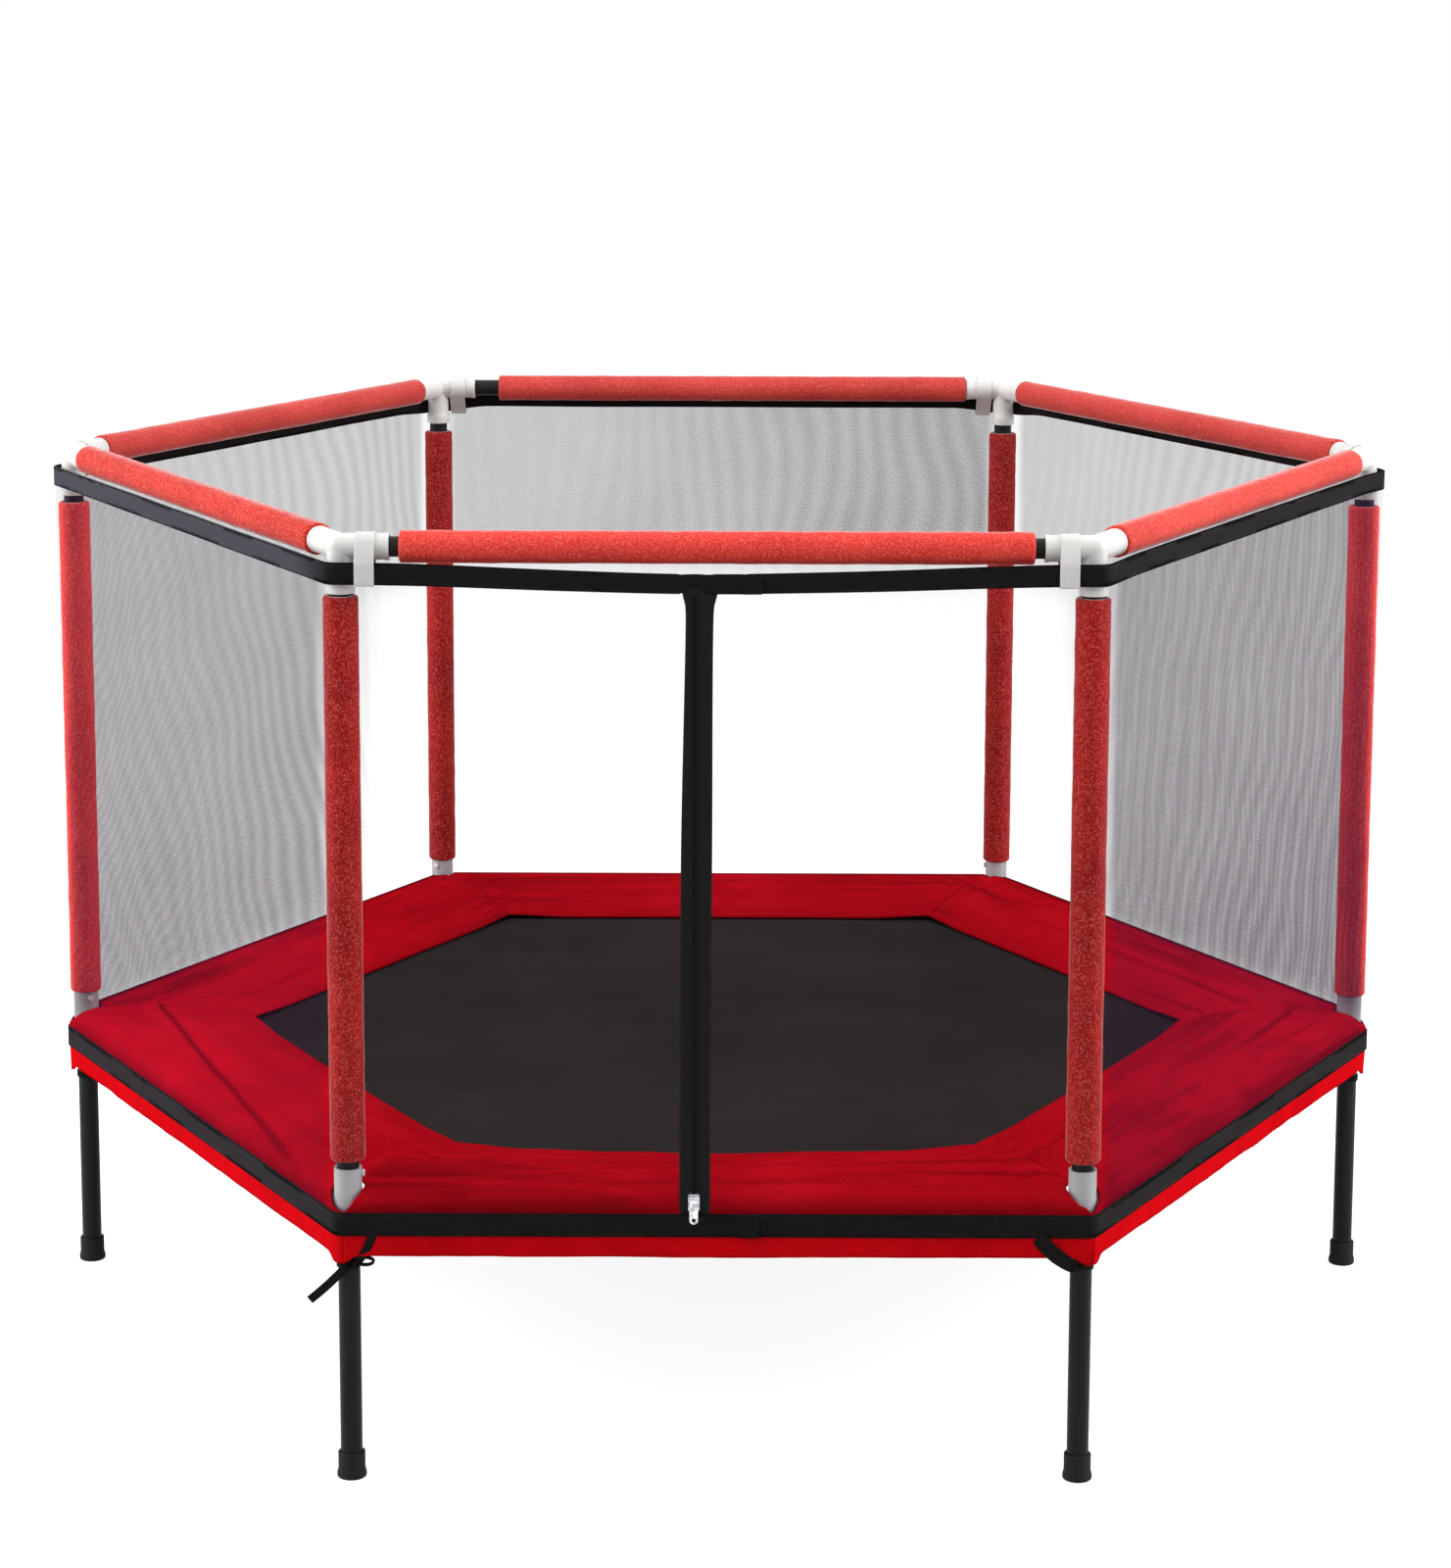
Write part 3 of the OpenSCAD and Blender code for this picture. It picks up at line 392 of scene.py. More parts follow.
class Material(Tree):
    """A material with one Principled shader and short calls for the nodes before it."""

    def __init__(self, name, roughness=0.5, **sockets):
        self.material = bpy.data.materials.new(name)
        super().__init__(self.material)
        shader = self.add("BsdfPrincipled", {"Roughness": roughness})
        for key, value in sockets.items():
            shader.inputs[key.replace("_", " ")].default_value = value
        self.add("OutputMaterial", {0: shader.outputs[0]})
        self.inputs = shader.inputs
        self.coords = self.add("TexCoord").outputs

    def place(self, kind="Object", scale=(1, 1, 1), turn=0, own=False):
        """Texture coordinates in metres, of the object or UV along the cloth, turned by degrees.
        own gives each object its own part of the pattern."""
        away = self.times(self.add("ObjectInfo").outputs["Random"], 40.0) if own else None
        inputs = {"Vector": self.coords[kind], "Scale": scale, "Location": away}
        inputs["Rotation"] = (0, 0, math.radians(turn))
        return self.add("Mapping", inputs).outputs[0]

    def axes(self, vector):
        """The vector's three numbers apart."""
        return tuple(self.add("SeparateXYZ", {0: vector}).outputs)

    def noise(self, scale, detail=3.0, rough=0.55, where=None, distortion=0.0):
        inputs = {"Vector": where or self.coords["Object"], "Scale": scale, "Detail": detail}
        return self.add("TexNoise", {**inputs, "Roughness": rough, "Distortion": distortion}).outputs["Fac"]

    def cells(self, scale, feature="F1"):
        inputs = {"Vector": self.coords["Object"], "Scale": scale}
        return self.add("TexVoronoi", inputs, feature=feature).outputs["Distance"]

    def wave(self, scale, axis, where, distortion=0.0, detail=0.0, detail_scale=1.0):
        inputs = {"Vector": where, "Scale": scale, "Distortion": distortion}
        inputs.update({"Detail": detail, "Detail Scale": detail_scale})
        return self.add("TexWave", inputs, bands_direction=axis).outputs["Fac"]

    def ramp(self, value, stops):
        """Colours, or plain numbers as greys, at places along the value."""
        node = self.add("ValToRGB", {0: value})
        elements = node.color_ramp.elements
        while len(elements) < len(stops):
            elements.new(0.5)
        for element, (at, colour) in zip(elements, stops):
            element.position = at
            element.color = colour if hasattr(colour, "__len__") else (colour, colour, colour, 1)
        return node.outputs["Color"]

    def ease(self, value, low, high, start, end):
        """A smooth change from start to end while value goes from low to high."""
        inputs = {"Value": value, "From Min": low, "From Max": high, "To Min": start, "To Max": end}
        return self.add("MapRange", inputs, interpolation_type="SMOOTHSTEP").outputs[0]

    def mix(self, factor, a, b):
        return self.add("Mix", {0: factor, 6: a, 7: b}, data_type="RGBA").outputs[2]

    def bump(self, height, distance, strength=1.0, below=None):
        inputs = {"Height": height, "Distance": distance, "Strength": strength, "Normal": below}
        return self.add("Bump", inputs).outputs[0]

    def finish(self, colour, roughness=None, normal=None):
        for key, value in (("Base Color", colour), ("Roughness", roughness), ("Normal", normal)):
            self.feed(self.inputs[key], value)
        return self.material


# ---------------------------------------------------------------- materials


def painted_steel():
    m = Material("painted_steel", Specular_IOR_Level=0.1)
    grain = m.noise(900, 2)
    wear = m.noise(14, 5, 0.6)
    colour = m.ramp(wear, [(0.35, srgb(20, 19, 20)), (0.7, srgb(30, 29, 30))])
    rough = m.ramp(wear, [(0.3, 0.34), (0.75, 0.52)])
    return m.finish(colour, rough, m.bump(grain, 0.06 * MM, 0.35))


def moulded_plastic(name, dark, light, rough=0.42):
    m = Material(name, rough, Specular_IOR_Level=0.3)
    cloud = m.noise(18, 4, 0.6)
    grain = m.noise(1400, 2)
    scuffs = m.noise(60, 6, 0.75, m.place(scale=(1, 1, 0.25)))
    colour = m.ramp(cloud, [(0.3, dark), (0.7, light)])
    colour = m.mix(m.ramp(scuffs, [(0.62, 0.0), (0.8, 0.35)]), colour, dark)
    roughness = m.ramp(scuffs, [(0.4, rough - 0.05), (0.75, rough + 0.14)])
    return m.finish(colour, roughness, m.bump(grain, 0.05 * MM, 0.5))


def rubber():
    m = Material("foot_rubber", 0.7, Specular_IOR_Level=0.12)
    grain = m.noise(700, 3)
    dust = m.noise(30, 5, 0.65)
    colour = m.ramp(dust, [(0.4, srgb(26, 26, 27)), (0.75, srgb(38, 37, 38))])
    return m.finish(colour, m.ramp(dust, [(0.3, 0.6), (0.8, 0.85)]), m.bump(grain, 0.12 * MM, 0.6))


def foam(name, shade, body, fleck, speckle=0.5):
    """Expanded foam: pressed beads a few millimetres across, with pale glints painted into its colour as
    flecks: a painted highlight.
    """
    m = Material(name, 0.6, Specular_IOR_Level=0.05, Sheen_Weight=0.6, Sheen_Roughness=0.25)
    beads = m.cells(420, "SMOOTH_F1")
    pits = m.cells(230)
    glints = m.noise(430, 2, 0.7)
    cloud = m.noise(9, 4, 0.6)
    colour = m.ramp(cloud, [(0.3, shade), (0.62, body)])
    colour = m.mix(m.ramp(beads, [(0.25, 0.0), (0.85, 0.45)]), colour, shade)
    colour = m.mix(m.ramp(glints, [(0.3, 0.6), (0.5, 0.0)]), colour, shade)
    # Painted highlight: pale glint flecks in the colour.
    colour = m.mix(m.ramp(glints, [(0.48, 0.0), (0.76, speckle)]), colour, fleck)
    normal = m.bump(pits, 0.7 * MM, 0.6)
    normal = m.bump(beads, 0.5 * MM, 0.8, normal)
    return m.finish(colour, m.ramp(glints, [(0.35, 0.48), (0.7, 0.7)]), normal)


def coated_cloth(name, crease=None):
    """The cover: red PVC on a woven scrim, with scuffs, and with streaks and folds in painted shade. Its
    skirt is the same cloth painted brighter, the side pads are painted lighter than the middle ones, and each
    pad is
    painted darker down its drop to the band: painted light and shade.
    crease is a folded line from one (place along the side, distance from the inner edge) to another, painted
    darker along it as painted shade. The three back panels are painted darker, a painted shadow, from
    DARK_RIM's first distance from the inner edge to its second."""
    m = Material(name, 0.5, Specular_IOR_Level=0.0)
    flat = m.place("UV")
    weave = m.times(m.wave(260, "X", flat), m.wave(260, "Y", flat))
    cloud = m.noise(5, 5, 0.62)
    mottle = m.noise(30, 4, 0.6)
    dust = m.noise(600, 2, 0.6)
    x, y, z = m.axes(m.coords["Object"])
    along, step, _ = m.axes(flat)
    shades = ((srgb(152, 7, 18), srgb(166, 10, 22), srgb(180, 17, 30)),
              (srgb(186, 10, 24), srgb(203, 14, 29), srgb(214, 24, 38)))
    middle_pad, painted_lit_side_pad = (m.ramp(cloud, list(zip((0.28, 0.55, 0.8), three))) for three in shades)
    # Painted light: the skirt is the same cloth, painted brighter than the pad.
    painted_bright_skirt = m.ramp(cloud, [(0.28, srgb(192, 7, 15)), (0.7, srgb(208, 12, 22))])
    # Painted light: the pads towards the left and right are painted lighter than the middle ones.
    pad = m.mix(m.ease(m.maths("ABSOLUTE", x), 0.3, 0.62, 0.0, 1.0), middle_pad, painted_lit_side_pad)
    # Painted shade: each pad is painted darker down its drop from the rail to the band.
    pad = m.mix(m.ease(z, BAND_Z[1], RAIL_Z + COVER_RAIL_R, 0.42, 0.0), pad, srgb(84, 4, 9))
    if crease:
        (x0, y0), (x1, y1) = crease
        slope = (y1 - y0) / (x1 - x0)
        line = m.maths("ADD", m.times(along, slope), y0 - x0 * slope)
        # Painted shade along the crease line, fading out past its far end.
        dark = m.ease(m.maths("ABSOLUTE", m.maths("SUBTRACT", step, line)), 1.5 * MM, 8 * MM, 0.6, 0.0)
        dark = m.times(dark, m.ease(along, x1 - 60 * MM, x1 + 20 * MM, 1.0, 0.0))
        pad = m.mix(dark, pad, srgb(96, 6, 14))
    # Painted shade: soft dark streaks along the pads, stronger away from the inner edge.
    painted_shade_streaks = m.noise(1, 3, 0.6, m.place("UV", (5, 34, 1), own=True), 0.4)
    painted_shade_streaks = m.times(m.ramp(painted_shade_streaks, [(0.48, 0.0), (0.68, 0.2 if crease else 0.5)]),
                      m.ease(step, 40 * MM, 130 * MM, 0.3, 1.0))
    # Painted shade: dark fold lines, stronger towards the ends of each pad.
    folds = m.noise(1, 2, 0.5, m.place("UV", (2.6, 52, 1), 3, own=True), 0.25)
    folds = m.times(m.ramp(folds, [(0.52, 0.0), (0.64, 0.12 if crease else 0.55)]),
                    m.ease(m.maths("ABSOLUTE", along), 0.05, 0.3, 0.25, 1.0))
    # Painted shadow: the back pads darken beyond DARK_RIM's distances from the inner edge.
    painted_shadow_rim = m.times(m.ease(step, *DARK_RIM, 0.0, 0.85), m.maths("GREATER_THAN", y, 0.0))
    for mask, shade in ((painted_shade_streaks, srgb(100, 5, 12)), (folds, srgb(104, 5, 13)), (painted_shadow_rim, srgb(48, 4, 10))):
        pad = m.mix(mask, pad, shade)
    colour = m.mix(m.maths("GREATER_THAN", z, BAND_Z[0] + 8 * MM), painted_bright_skirt, pad)
    colour = m.mix(m.ramp(mottle, [(0.35, 0.0), (0.75, 0.3)]), colour, srgb(128, 7, 15))
    colour = m.mix(m.ramp(dust, [(0.6, 0.0), (0.8, 0.16)]), colour, srgb(226, 90, 94))
    normal = m.bump(weave, 0.12 * MM, 0.5, m.bump(mottle, 0.6 * MM, 0.5))
    return m.finish(colour, m.ramp(mottle, [(0.3, 0.4), (0.7, 0.6)]), normal)


def webbing(name, dark, light, painted_lit_left=None):
    """Woven tape: herringbone ribs along it. faded is its colour on the front left side, painted lighter
    there as painted light.
    """
    m = Material(name, 0.8, Specular_IOR_Level=0.06)
    across, other = (m.wave(1 / WEB_PITCH / 3.14, "X", m.place("UV", turn=turn)) for turn in (32, -32))
    ribs = m.maths("MAXIMUM", across, other)
    fuzz = m.noise(900, 3, 0.6)
    cloud = m.noise(22, 4, 0.6)
    colour = m.mix(m.ramp(ribs, [(0.3, 1.0), (0.9, 0.0)]), light, dark)
    colour = m.mix(m.ramp(cloud, [(0.35, 0.0), (0.8, 0.4)]), colour, dark)
    if painted_lit_left:
        x, y, _ = m.axes(m.coords["Object"])
        # Painted light: the front left part of the tape is painted lighter.
        left_lit_share = m.ease(x, -POST_R / 2 - 60 * MM, -POST_R / 2 - 10 * MM, 1.0, 0.0)
        colour = m.mix(m.times(m.maths("LESS_THAN", y, 0.0), left_lit_share), colour, painted_lit_left)
    normal = m.bump(fuzz, 0.15 * MM, 0.5, m.bump(ribs, 0.35 * MM, 0.7))
    return m.finish(colour, m.ramp(fuzz, [(0.3, 0.7), (0.7, 0.9)]), normal)


def jumping_mat():
    """Woven polypropylene: a tight grid of flat dark ribbons."""
    m = Material("mat_weave", 0.7, Specular_IOR_Level=0.0)
    where = m.place()
    warp = m.wave(330, "X", where)
    weft = m.wave(330, "Y", where)
    over = m.maths("GREATER_THAN", m.times(warp, weft), 0.25)
    weave = m.maths("MAXIMUM", warp, weft)
    rows = m.noise(240, 2, 0.5, m.place(scale=(0.02, 1, 1)))
    cloud = m.noise(4.5, 6, 0.65)
    colour = m.ramp(cloud, [(0.3, srgb(40, 36, 36)), (0.7, srgb(50, 45, 45))])
    colour = m.mix(m.ramp(rows, [(0.35, 0.0), (0.7, 0.4)]), colour, srgb(34, 30, 31))
    colour = m.mix(m.times(over, 0.15), colour, srgb(72, 66, 65))
    return m.finish(colour, m.ramp(weave, [(0.2, 0.8), (0.9, 0.6)]), m.bump(weave, 0.3 * MM, 0.8))


def zinc(name, dark, light, rough):
    m = Material(name, rough, Metallic=1.0)
    colour = m.ramp(m.cells(180), [(0.2, dark), (0.8, light)])
    streak = m.noise(260, 4, 0.6)
    roughness = m.ramp(streak, [(0.3, rough - 0.08), (0.7, rough + 0.14)])
    return m.finish(colour, roughness, m.bump(streak, 0.05 * MM, 0.4))


def zip_cloth():
    m = Material("zip_cloth", 0.8, Specular_IOR_Level=0.08)
    ribs = m.wave(300, "X", m.place("UV"))
    fuzz = m.noise(1100, 3)
    colour = m.mix(m.ramp(ribs, [(0.3, 0.0), (0.8, 1.0)]), srgb(24, 23, 23), srgb(36, 35, 35))
    return m.finish(colour, None, m.bump(m.maths("ADD", ribs, fuzz), 0.2 * MM, 0.7))


def netting(name, cover, ripple=0.1, slant=0.0, spacing=30 * MM, calm=(1, 0.3), foot=(0.3, 0.0), sheer=None,
            thick=(1.0, 1.0)):
    """Fine dark mesh. cover is the share of the view that its threads take, scaled by thick at the side's
    two ends, and ripple is how far faint waves change it.
    calm: (direction along the side in which the waves fade, share that stays).
    foot: (height, slope) of the line below which the net hangs slack, with a wider mesh and no waves.
    sheer: (direction, place, place): below SHEER_Z the mesh thins out to SHEER of its cover, and with a
    direction only where the place along the side lies that way beyond the two places."""
    m = Material(name, 0.8, Specular_IOR_Level=0.0)
    flat = m.place("UV")
    along, height, _ = m.axes(flat)
    upright, level = (m.wave(1 / NET_PITCH / 3.14, axis, flat) for axis in "XY")
    threads = m.maths("MAXIMUM", upright, level)
    waves = m.wave(1 / spacing / 3.14, "X", m.place("UV", turn=slant), 16.0, 1.5, 0.28)
    fade = m.ease(m.times(along, calm[0]), -0.15, 0.3, ripple, ripple * calm[1])
    above = m.maths("SUBTRACT", height, m.times(along, foot[1]))
    taut = m.ease(above, foot[0] - 30 * MM, foot[0] + 20 * MM, 0.0, 1.0)
    waves = m.times(m.maths("SUBTRACT", waves, 0.5), m.times(fade, taut))
    share = m.maths("ADD", cover * 0.8, m.times(threads, cover * 0.28))
    share = m.maths("ADD", share, m.times(waves, cover))
    for pattern, depth in ((m.noise(7, 3, 0.6, flat), 0.2), (m.noise(430, 2, 0.7, flat), 0.9)):
        share = m.maths("ADD", share, m.times(m.maths("SUBTRACT", pattern, 0.5), cover * depth))
    half = half_side(HEM_U, BAND_CORNER_R)
    share = m.times(share, m.ease(height, BAND_Z[1], HEM_Z[0], 1.3, 0.92), True)
    for change in (m.maths("ADD", m.times(taut, 0.45), 0.55),
                   m.ease(m.maths("ABSOLUTE", along), half - 36 * MM, half - 12 * MM, 1.0, 0.2),
                   m.ease(along, -half, half, *thick)):
        share = m.times(share, change)
    if sheer:
        direction, near, far = sheer
        thin = m.ease(height, *SHEER_Z, 1.0, 0.0)
        if direction:
            beyond = m.ease(m.times(along, direction), near, far, 0.0, 1.0)
            thin = m.times(thin, beyond)
        share = m.times(share, m.maths("SUBTRACT", 1.0, m.times(thin, 1 - SHEER)))
    m.feed(m.inputs["Alpha"], share)
    return m.finish(m.mix(threads, srgb(34, 14, 36), srgb(46, 20, 50)), None, m.bump(threads, 0.2 * MM, 0.5))


STEEL = painted_steel()
WHITE_PLASTIC = moulded_plastic("elbow_plastic", srgb(200, 199, 197), srgb(221, 220, 217))
GREY_PLASTIC = moulded_plastic("socket_plastic", srgb(148, 147, 150), srgb(174, 173, 176))
RUBBER = rubber()
# One foam in lit and shaded copies, with painted light and shade: the left and right post sleeves are painted
# lighter, the other post sleeves darker.
PAINTED_DARKER_POST_FOAM = foam("post_foam", srgb(124, 16, 15), srgb(166, 30, 27), srgb(230, 112, 106), 0.6)
PAINTED_LIGHTER_SIDE_POST_FOAM = foam("side_post_foam", srgb(206, 48, 46), srgb(234, 68, 64), srgb(248, 150, 144))
# Rail sleeves: one foam in copies with painted shade. The front left and front right ones are painted darker
# than the front one, against the side lamps, and the back one is painted duller.
RAIL_FOAM_PAINTED_PER_SIDE = {
    "front": foam("rail_foam", srgb(204, 46, 40), srgb(230, 68, 58), srgb(250, 150, 138)),
    "front_left": foam("rail_foam_left", srgb(160, 24, 19), srgb(192, 38, 30), srgb(248, 132, 112), 0.7),
    "front_right": foam("rail_foam_right", srgb(184, 44, 37), srgb(208, 60, 51), srgb(244, 148, 136))}
PAINTED_DULLER_BACK_RAIL_FOAM = foam("back_rail_foam", srgb(176, 52, 47), srgb(198, 66, 60), srgb(238, 150, 142), 0.3)
PVC = coated_cloth("red_pvc")
CREASED_PVC = coated_cloth("creased_red_pvc", CREASE)
BLACK_WEB = webbing("black_webbing", srgb(15, 12, 12), srgb(29, 25, 26))
# The hem and band take a third colour on the front left side: painted light.
HEM_WEB = webbing("hem_webbing", srgb(14, 11, 11), srgb(27, 23, 24), srgb(60, 59, 66))
BAND_WEB = webbing("band_webbing", srgb(14, 11, 11), srgb(27, 23, 24), srgb(31, 27, 32))
WHITE_WEB = webbing("white_webbing", srgb(186, 184, 184), srgb(232, 231, 229))
MAT = jumping_mat()
ZINC = zinc("spring_zinc", srgb(128, 130, 134), srgb(196, 198, 202), 0.34)
CHROME = zinc("zip_nickel", srgb(150, 152, 156), srgb(222, 223, 226), 0.24)
ZIP_CLOTH = zip_cloth()
SIDE_NETS = {
    "front_right": netting("net_mesh_right", 0.46, 0.22, 4, 17 * MM, (-1, 0.6), (464 * MM, -0.378)),
    "front_left": netting("net_mesh_left", 0.325, 0.25, 40, 15 * MM, (1, 0.15), (465 * MM, 0.387)),
    "back_right": netting("net_mesh_back_right", 0.45, 0.2, -12, sheer=(1, 0.12, 0.3)),
    "back": netting("net_mesh_back", 0.5, 0.12, 3, sheer=(0, 0.0, 0.0), thick=(1.3, 0.95)),
    "back_left": netting("net_mesh_back_left", 0.47, 0.2, 12, sheer=(-1, 0.12, 0.3))}
DOOR_NET = netting("door_net_mesh", 0.035, 0.05)


def coat(obj, material):
    obj.data.materials.clear()
    obj.data.materials.append(material)


def dress(obj, material, node, body="frame"):
    """Gives a piece its material, its body when one is given, and hides the CAD node that it stands for."""
    coat(obj, material)
    if body:
        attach(obj, body)
    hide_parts(node)


# ---------------------------------------------------------------- CAD pieces that stay


def keep(node, material, edge=0.0):
    """Coats a CAD solid and rounds its sharp edges a little, so that they catch the light."""
    obj = frame["nodes"][node]
    coat(obj, material)
    if edge:
        weld = obj.modifiers.new("weld", "WELD")
        weld.merge_threshold = 0.01 * MM
        bevel = obj.modifiers.new("edges", "BEVEL")
        bevel.width = edge
        bevel.segments = 2
        bevel.limit_method = "ANGLE"
        bevel.angle_limit = math.radians(32)
        bevel.use_clamp_overlap = True
        bevel.harden_normals = False


def carried_pieces():
    """The solids that show as they are."""
    for corner in CORNERS:
        keep("leg_" + corner, STEEL)
        keep("post_" + corner, STEEL)
        keep("top_elbow_" + corner, WHITE_PLASTIC, 0.7 * MM)
        keep("base_connector_" + corner, GREY_PLASTIC, 0.6 * MM)
    for side in SIDES:
        keep("base_rail_" + side, STEEL)
    keep("top_rails", STEEL)
    keep("foot_caps", RUBBER, 0.5 * MM)
    keep("leg_screws", CHROME, 0.3 * MM)
    keep("post_screws", WHITE_PLASTIC, 0.4 * MM)
    keep("mat_rings", ZINC, 0.8 * MM)
    keep("zip_slider", CHROME, 0.4 * MM)
    keep("zip_pull", CHROME, 0.3 * MM)


# ---------------------------------------------------------------- foam sleeves


def foam_sleeve(name, start, end, outer_r, bore_r, material, node, seed):
    """A foam tube with pressed, slightly uneven skin and rounded ends."""
    start, end = Vector(start), Vector(end)
    axis = (end - start).normalized()
    length = (end - start).length
    across = axis.orthogonal().normalized()
    other = axis.cross(across)
    ease = 3 * MM
    head = [(0.0, bore_r), (0.0, outer_r - ease)]
    for a in np.radians([30, 60, 90]):
        head.append((ease * (1 - math.cos(a)), outer_r - ease * (1 - math.sin(a))))
    count = max(8, int(length / (7 * MM)))
    middle_part = [(ease + (length - 2 * ease) * k / count, outer_r) for k in range(1, count)]
    tail = [(length - along, r) for along, r in reversed(head)]
    profile = np.array(head + middle_part + tail)
    angles = around(56)
    along, r = profile[:, :1], profile[:, 1:]
    lumps = perlin(along * 38 + seed * 7.3, np.cos(angles)[None] * 1.3, np.sin(angles)[None] * 1.3)
    dents = perlin(along * 130 + seed * 3.1, np.cos(angles)[None] * 3.2 + 9, np.sin(angles)[None] * 3.2)
    skin = (r > bore_r + MM) * (0.45 * MM * lumps + 0.25 * MM * dents - 0.35 * MM)
    radius = r + skin
    points = (np.array(start)[None, None] + along[..., None] * np.array(axis)
              + (radius * np.cos(angles))[..., None] * np.array(across)
              + (radius * np.sin(angles))[..., None] * np.array(other))
    obj = mesh_object(name, points, grid_faces(*points.shape[:2], True, True))
    dress(obj, material, node)


def foam_sleeves():
    """The two front post sleeves are held up a little, and the back ones are pressed down from above."""
    for number, (corner, angle) in enumerate(CORNERS.items()):
        x, y, _ = POST_R * heading(angle)
        held = POST_FOAM_SLIP if corner.startswith("front") else 0.0
        pressed = POST_FOAM_PRESS if corner.startswith("back") else 0.0
        # The left and right post sleeves take the foam copy painted lighter, the others the copy painted
        # darker.
        foam_sleeve("post_foam_" + corner, (x, y, POST_FOAM_Z[0] + held * 1.5),
                    (x, y, POST_FOAM_Z[1] - POST_FOAM_SLIP + held - pressed), POST_FOAM_R,
                    POST_TUBE_R + FOAM_BORE_GAP, PAINTED_LIGHTER_SIDE_POST_FOAM if corner in ("left", "right") else PAINTED_DARKER_POST_FOAM,
                    "post_foam_sleeves", number)
    reach = POST_R / 2 - ELBOW_REACH
    for number, (side, angle) in enumerate(SIDES.items()):
        left, right = RAIL_FOAM_GAPS.get(side, (RAIL_FOAM_GAP, RAIL_FOAM_GAP))
        # Each rail sleeve takes its side's foam copy, with its painted shade.
        foam_sleeve("rail_foam_" + side, on_side(angle, APOTHEM, -reach + left, TOP_RAIL_Z),
                    on_side(angle, APOTHEM, reach - right, TOP_RAIL_Z), RAIL_FOAM_R,
                    TOP_RAIL_R + FOAM_BORE_GAP, RAIL_FOAM_PAINTED_PER_SIDE.get(side, PAINTED_DULLER_BACK_RAIL_FOAM),
                    "rail_foam_sleeves", number + 10)


# ---------------------------------------------------------------- mat, rings and springs


def spring_places():
    """Places of a side's springs along it."""
    return [(i - (SPRINGS_PER_SIDE - 1) / 2) * SPRING_PITCH for i in range(SPRINGS_PER_SIDE)]


def spring_path():
    """One wire from the upturned hook through the coil to the eye: (u, sideways, height)."""
    hook = [(HOOK_U, 0, HOOK_TIP), (HOOK_U, 0, 1.6 * MM), (HOOK_U - 0.5 * MM, 0, 0.5 * MM),
            (HOOK_U - 1.6 * MM, 0, 0), (COIL_OUT_U + 3 * MM, 0, 0)]
    wind_r = COIL_R - WIRE_R
    coil = []
    for t in np.linspace(0, 1, COIL_WINDS * 14 + 1):
        grow = min(1, t * COIL_WINDS / 0.75, (1 - t) * COIL_WINDS / 0.75)
        a = 2 * math.pi * COIL_WINDS * t
        coil.append((COIL_OUT_U + (COIL_IN_U - COIL_OUT_U) * t,
                     wind_r * grow * math.sin(a), wind_r * grow * math.cos(a)))
    eye = [(EYE_U + EYE_R + 1.2 * MM, 0, 0.2 * MM)]
    eye += [(EYE_U + EYE_R * math.cos(a), 0, EYE_R * math.sin(a)) for a in np.radians(np.arange(8, 345, 16))]
    return np.array(hook + coil + eye)


def springs():
    path = spring_path()
    for side, angle in SIDES.items():
        parts = [rod(on_side(angle, path[:, 0], path[:, 1] + place, MAT_Z + path[:, 2]), WIRE_R, 6)
                 for place in spring_places()]
        obj = mesh_object("springs_" + side, *join(parts))
        dress(obj, ZINC, "springs", body=None)
        on_side(angle, SPRING_HELD_U, 0.0, MAT_Z)
        on_side(angle, SPRING_FREE_U, 0.0, MAT_Z)
        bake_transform(obj)


def mat_sheet():
    """The woven bed, one cloth with its edge held by the border."""
    steps = 36
    corners = [MAT_R * heading(angle)[:2] for angle in (0, 120, 240)]
    index, points, faces = {}, [], []

    def vertex(point):
        key = tuple(np.round(point / (0.1 * MM)).astype(int))
        if key not in index:
            index[key] = len(points)
            points.append(point)
        return index[key]

    for k in range(3):
        a, b = corners[k], corners[(k + 1) % 3]
        grid = [[vertex((a * i + b * j) / steps) for j in range(steps + 1)] for i in range(steps + 1)]
        faces += [(grid[i][j], grid[i + 1][j], grid[i + 1][j + 1], grid[i][j + 1])
                  for i in range(steps) for j in range(steps)]
    points = np.array(points)
    distance = np.linalg.norm(points, axis=1) / MAT_R
    z = MAT_Z + 0.5 * MM * perlin(points[:, 0] * 7, points[:, 1] * 7) * (1 - distance ** 4)
    obj = mesh_object("mat_cloth", np.column_stack([points, z]), faces)
    thicken(obj, MAT_T, 0)
    dress(obj, MAT, "mat", body="mat")


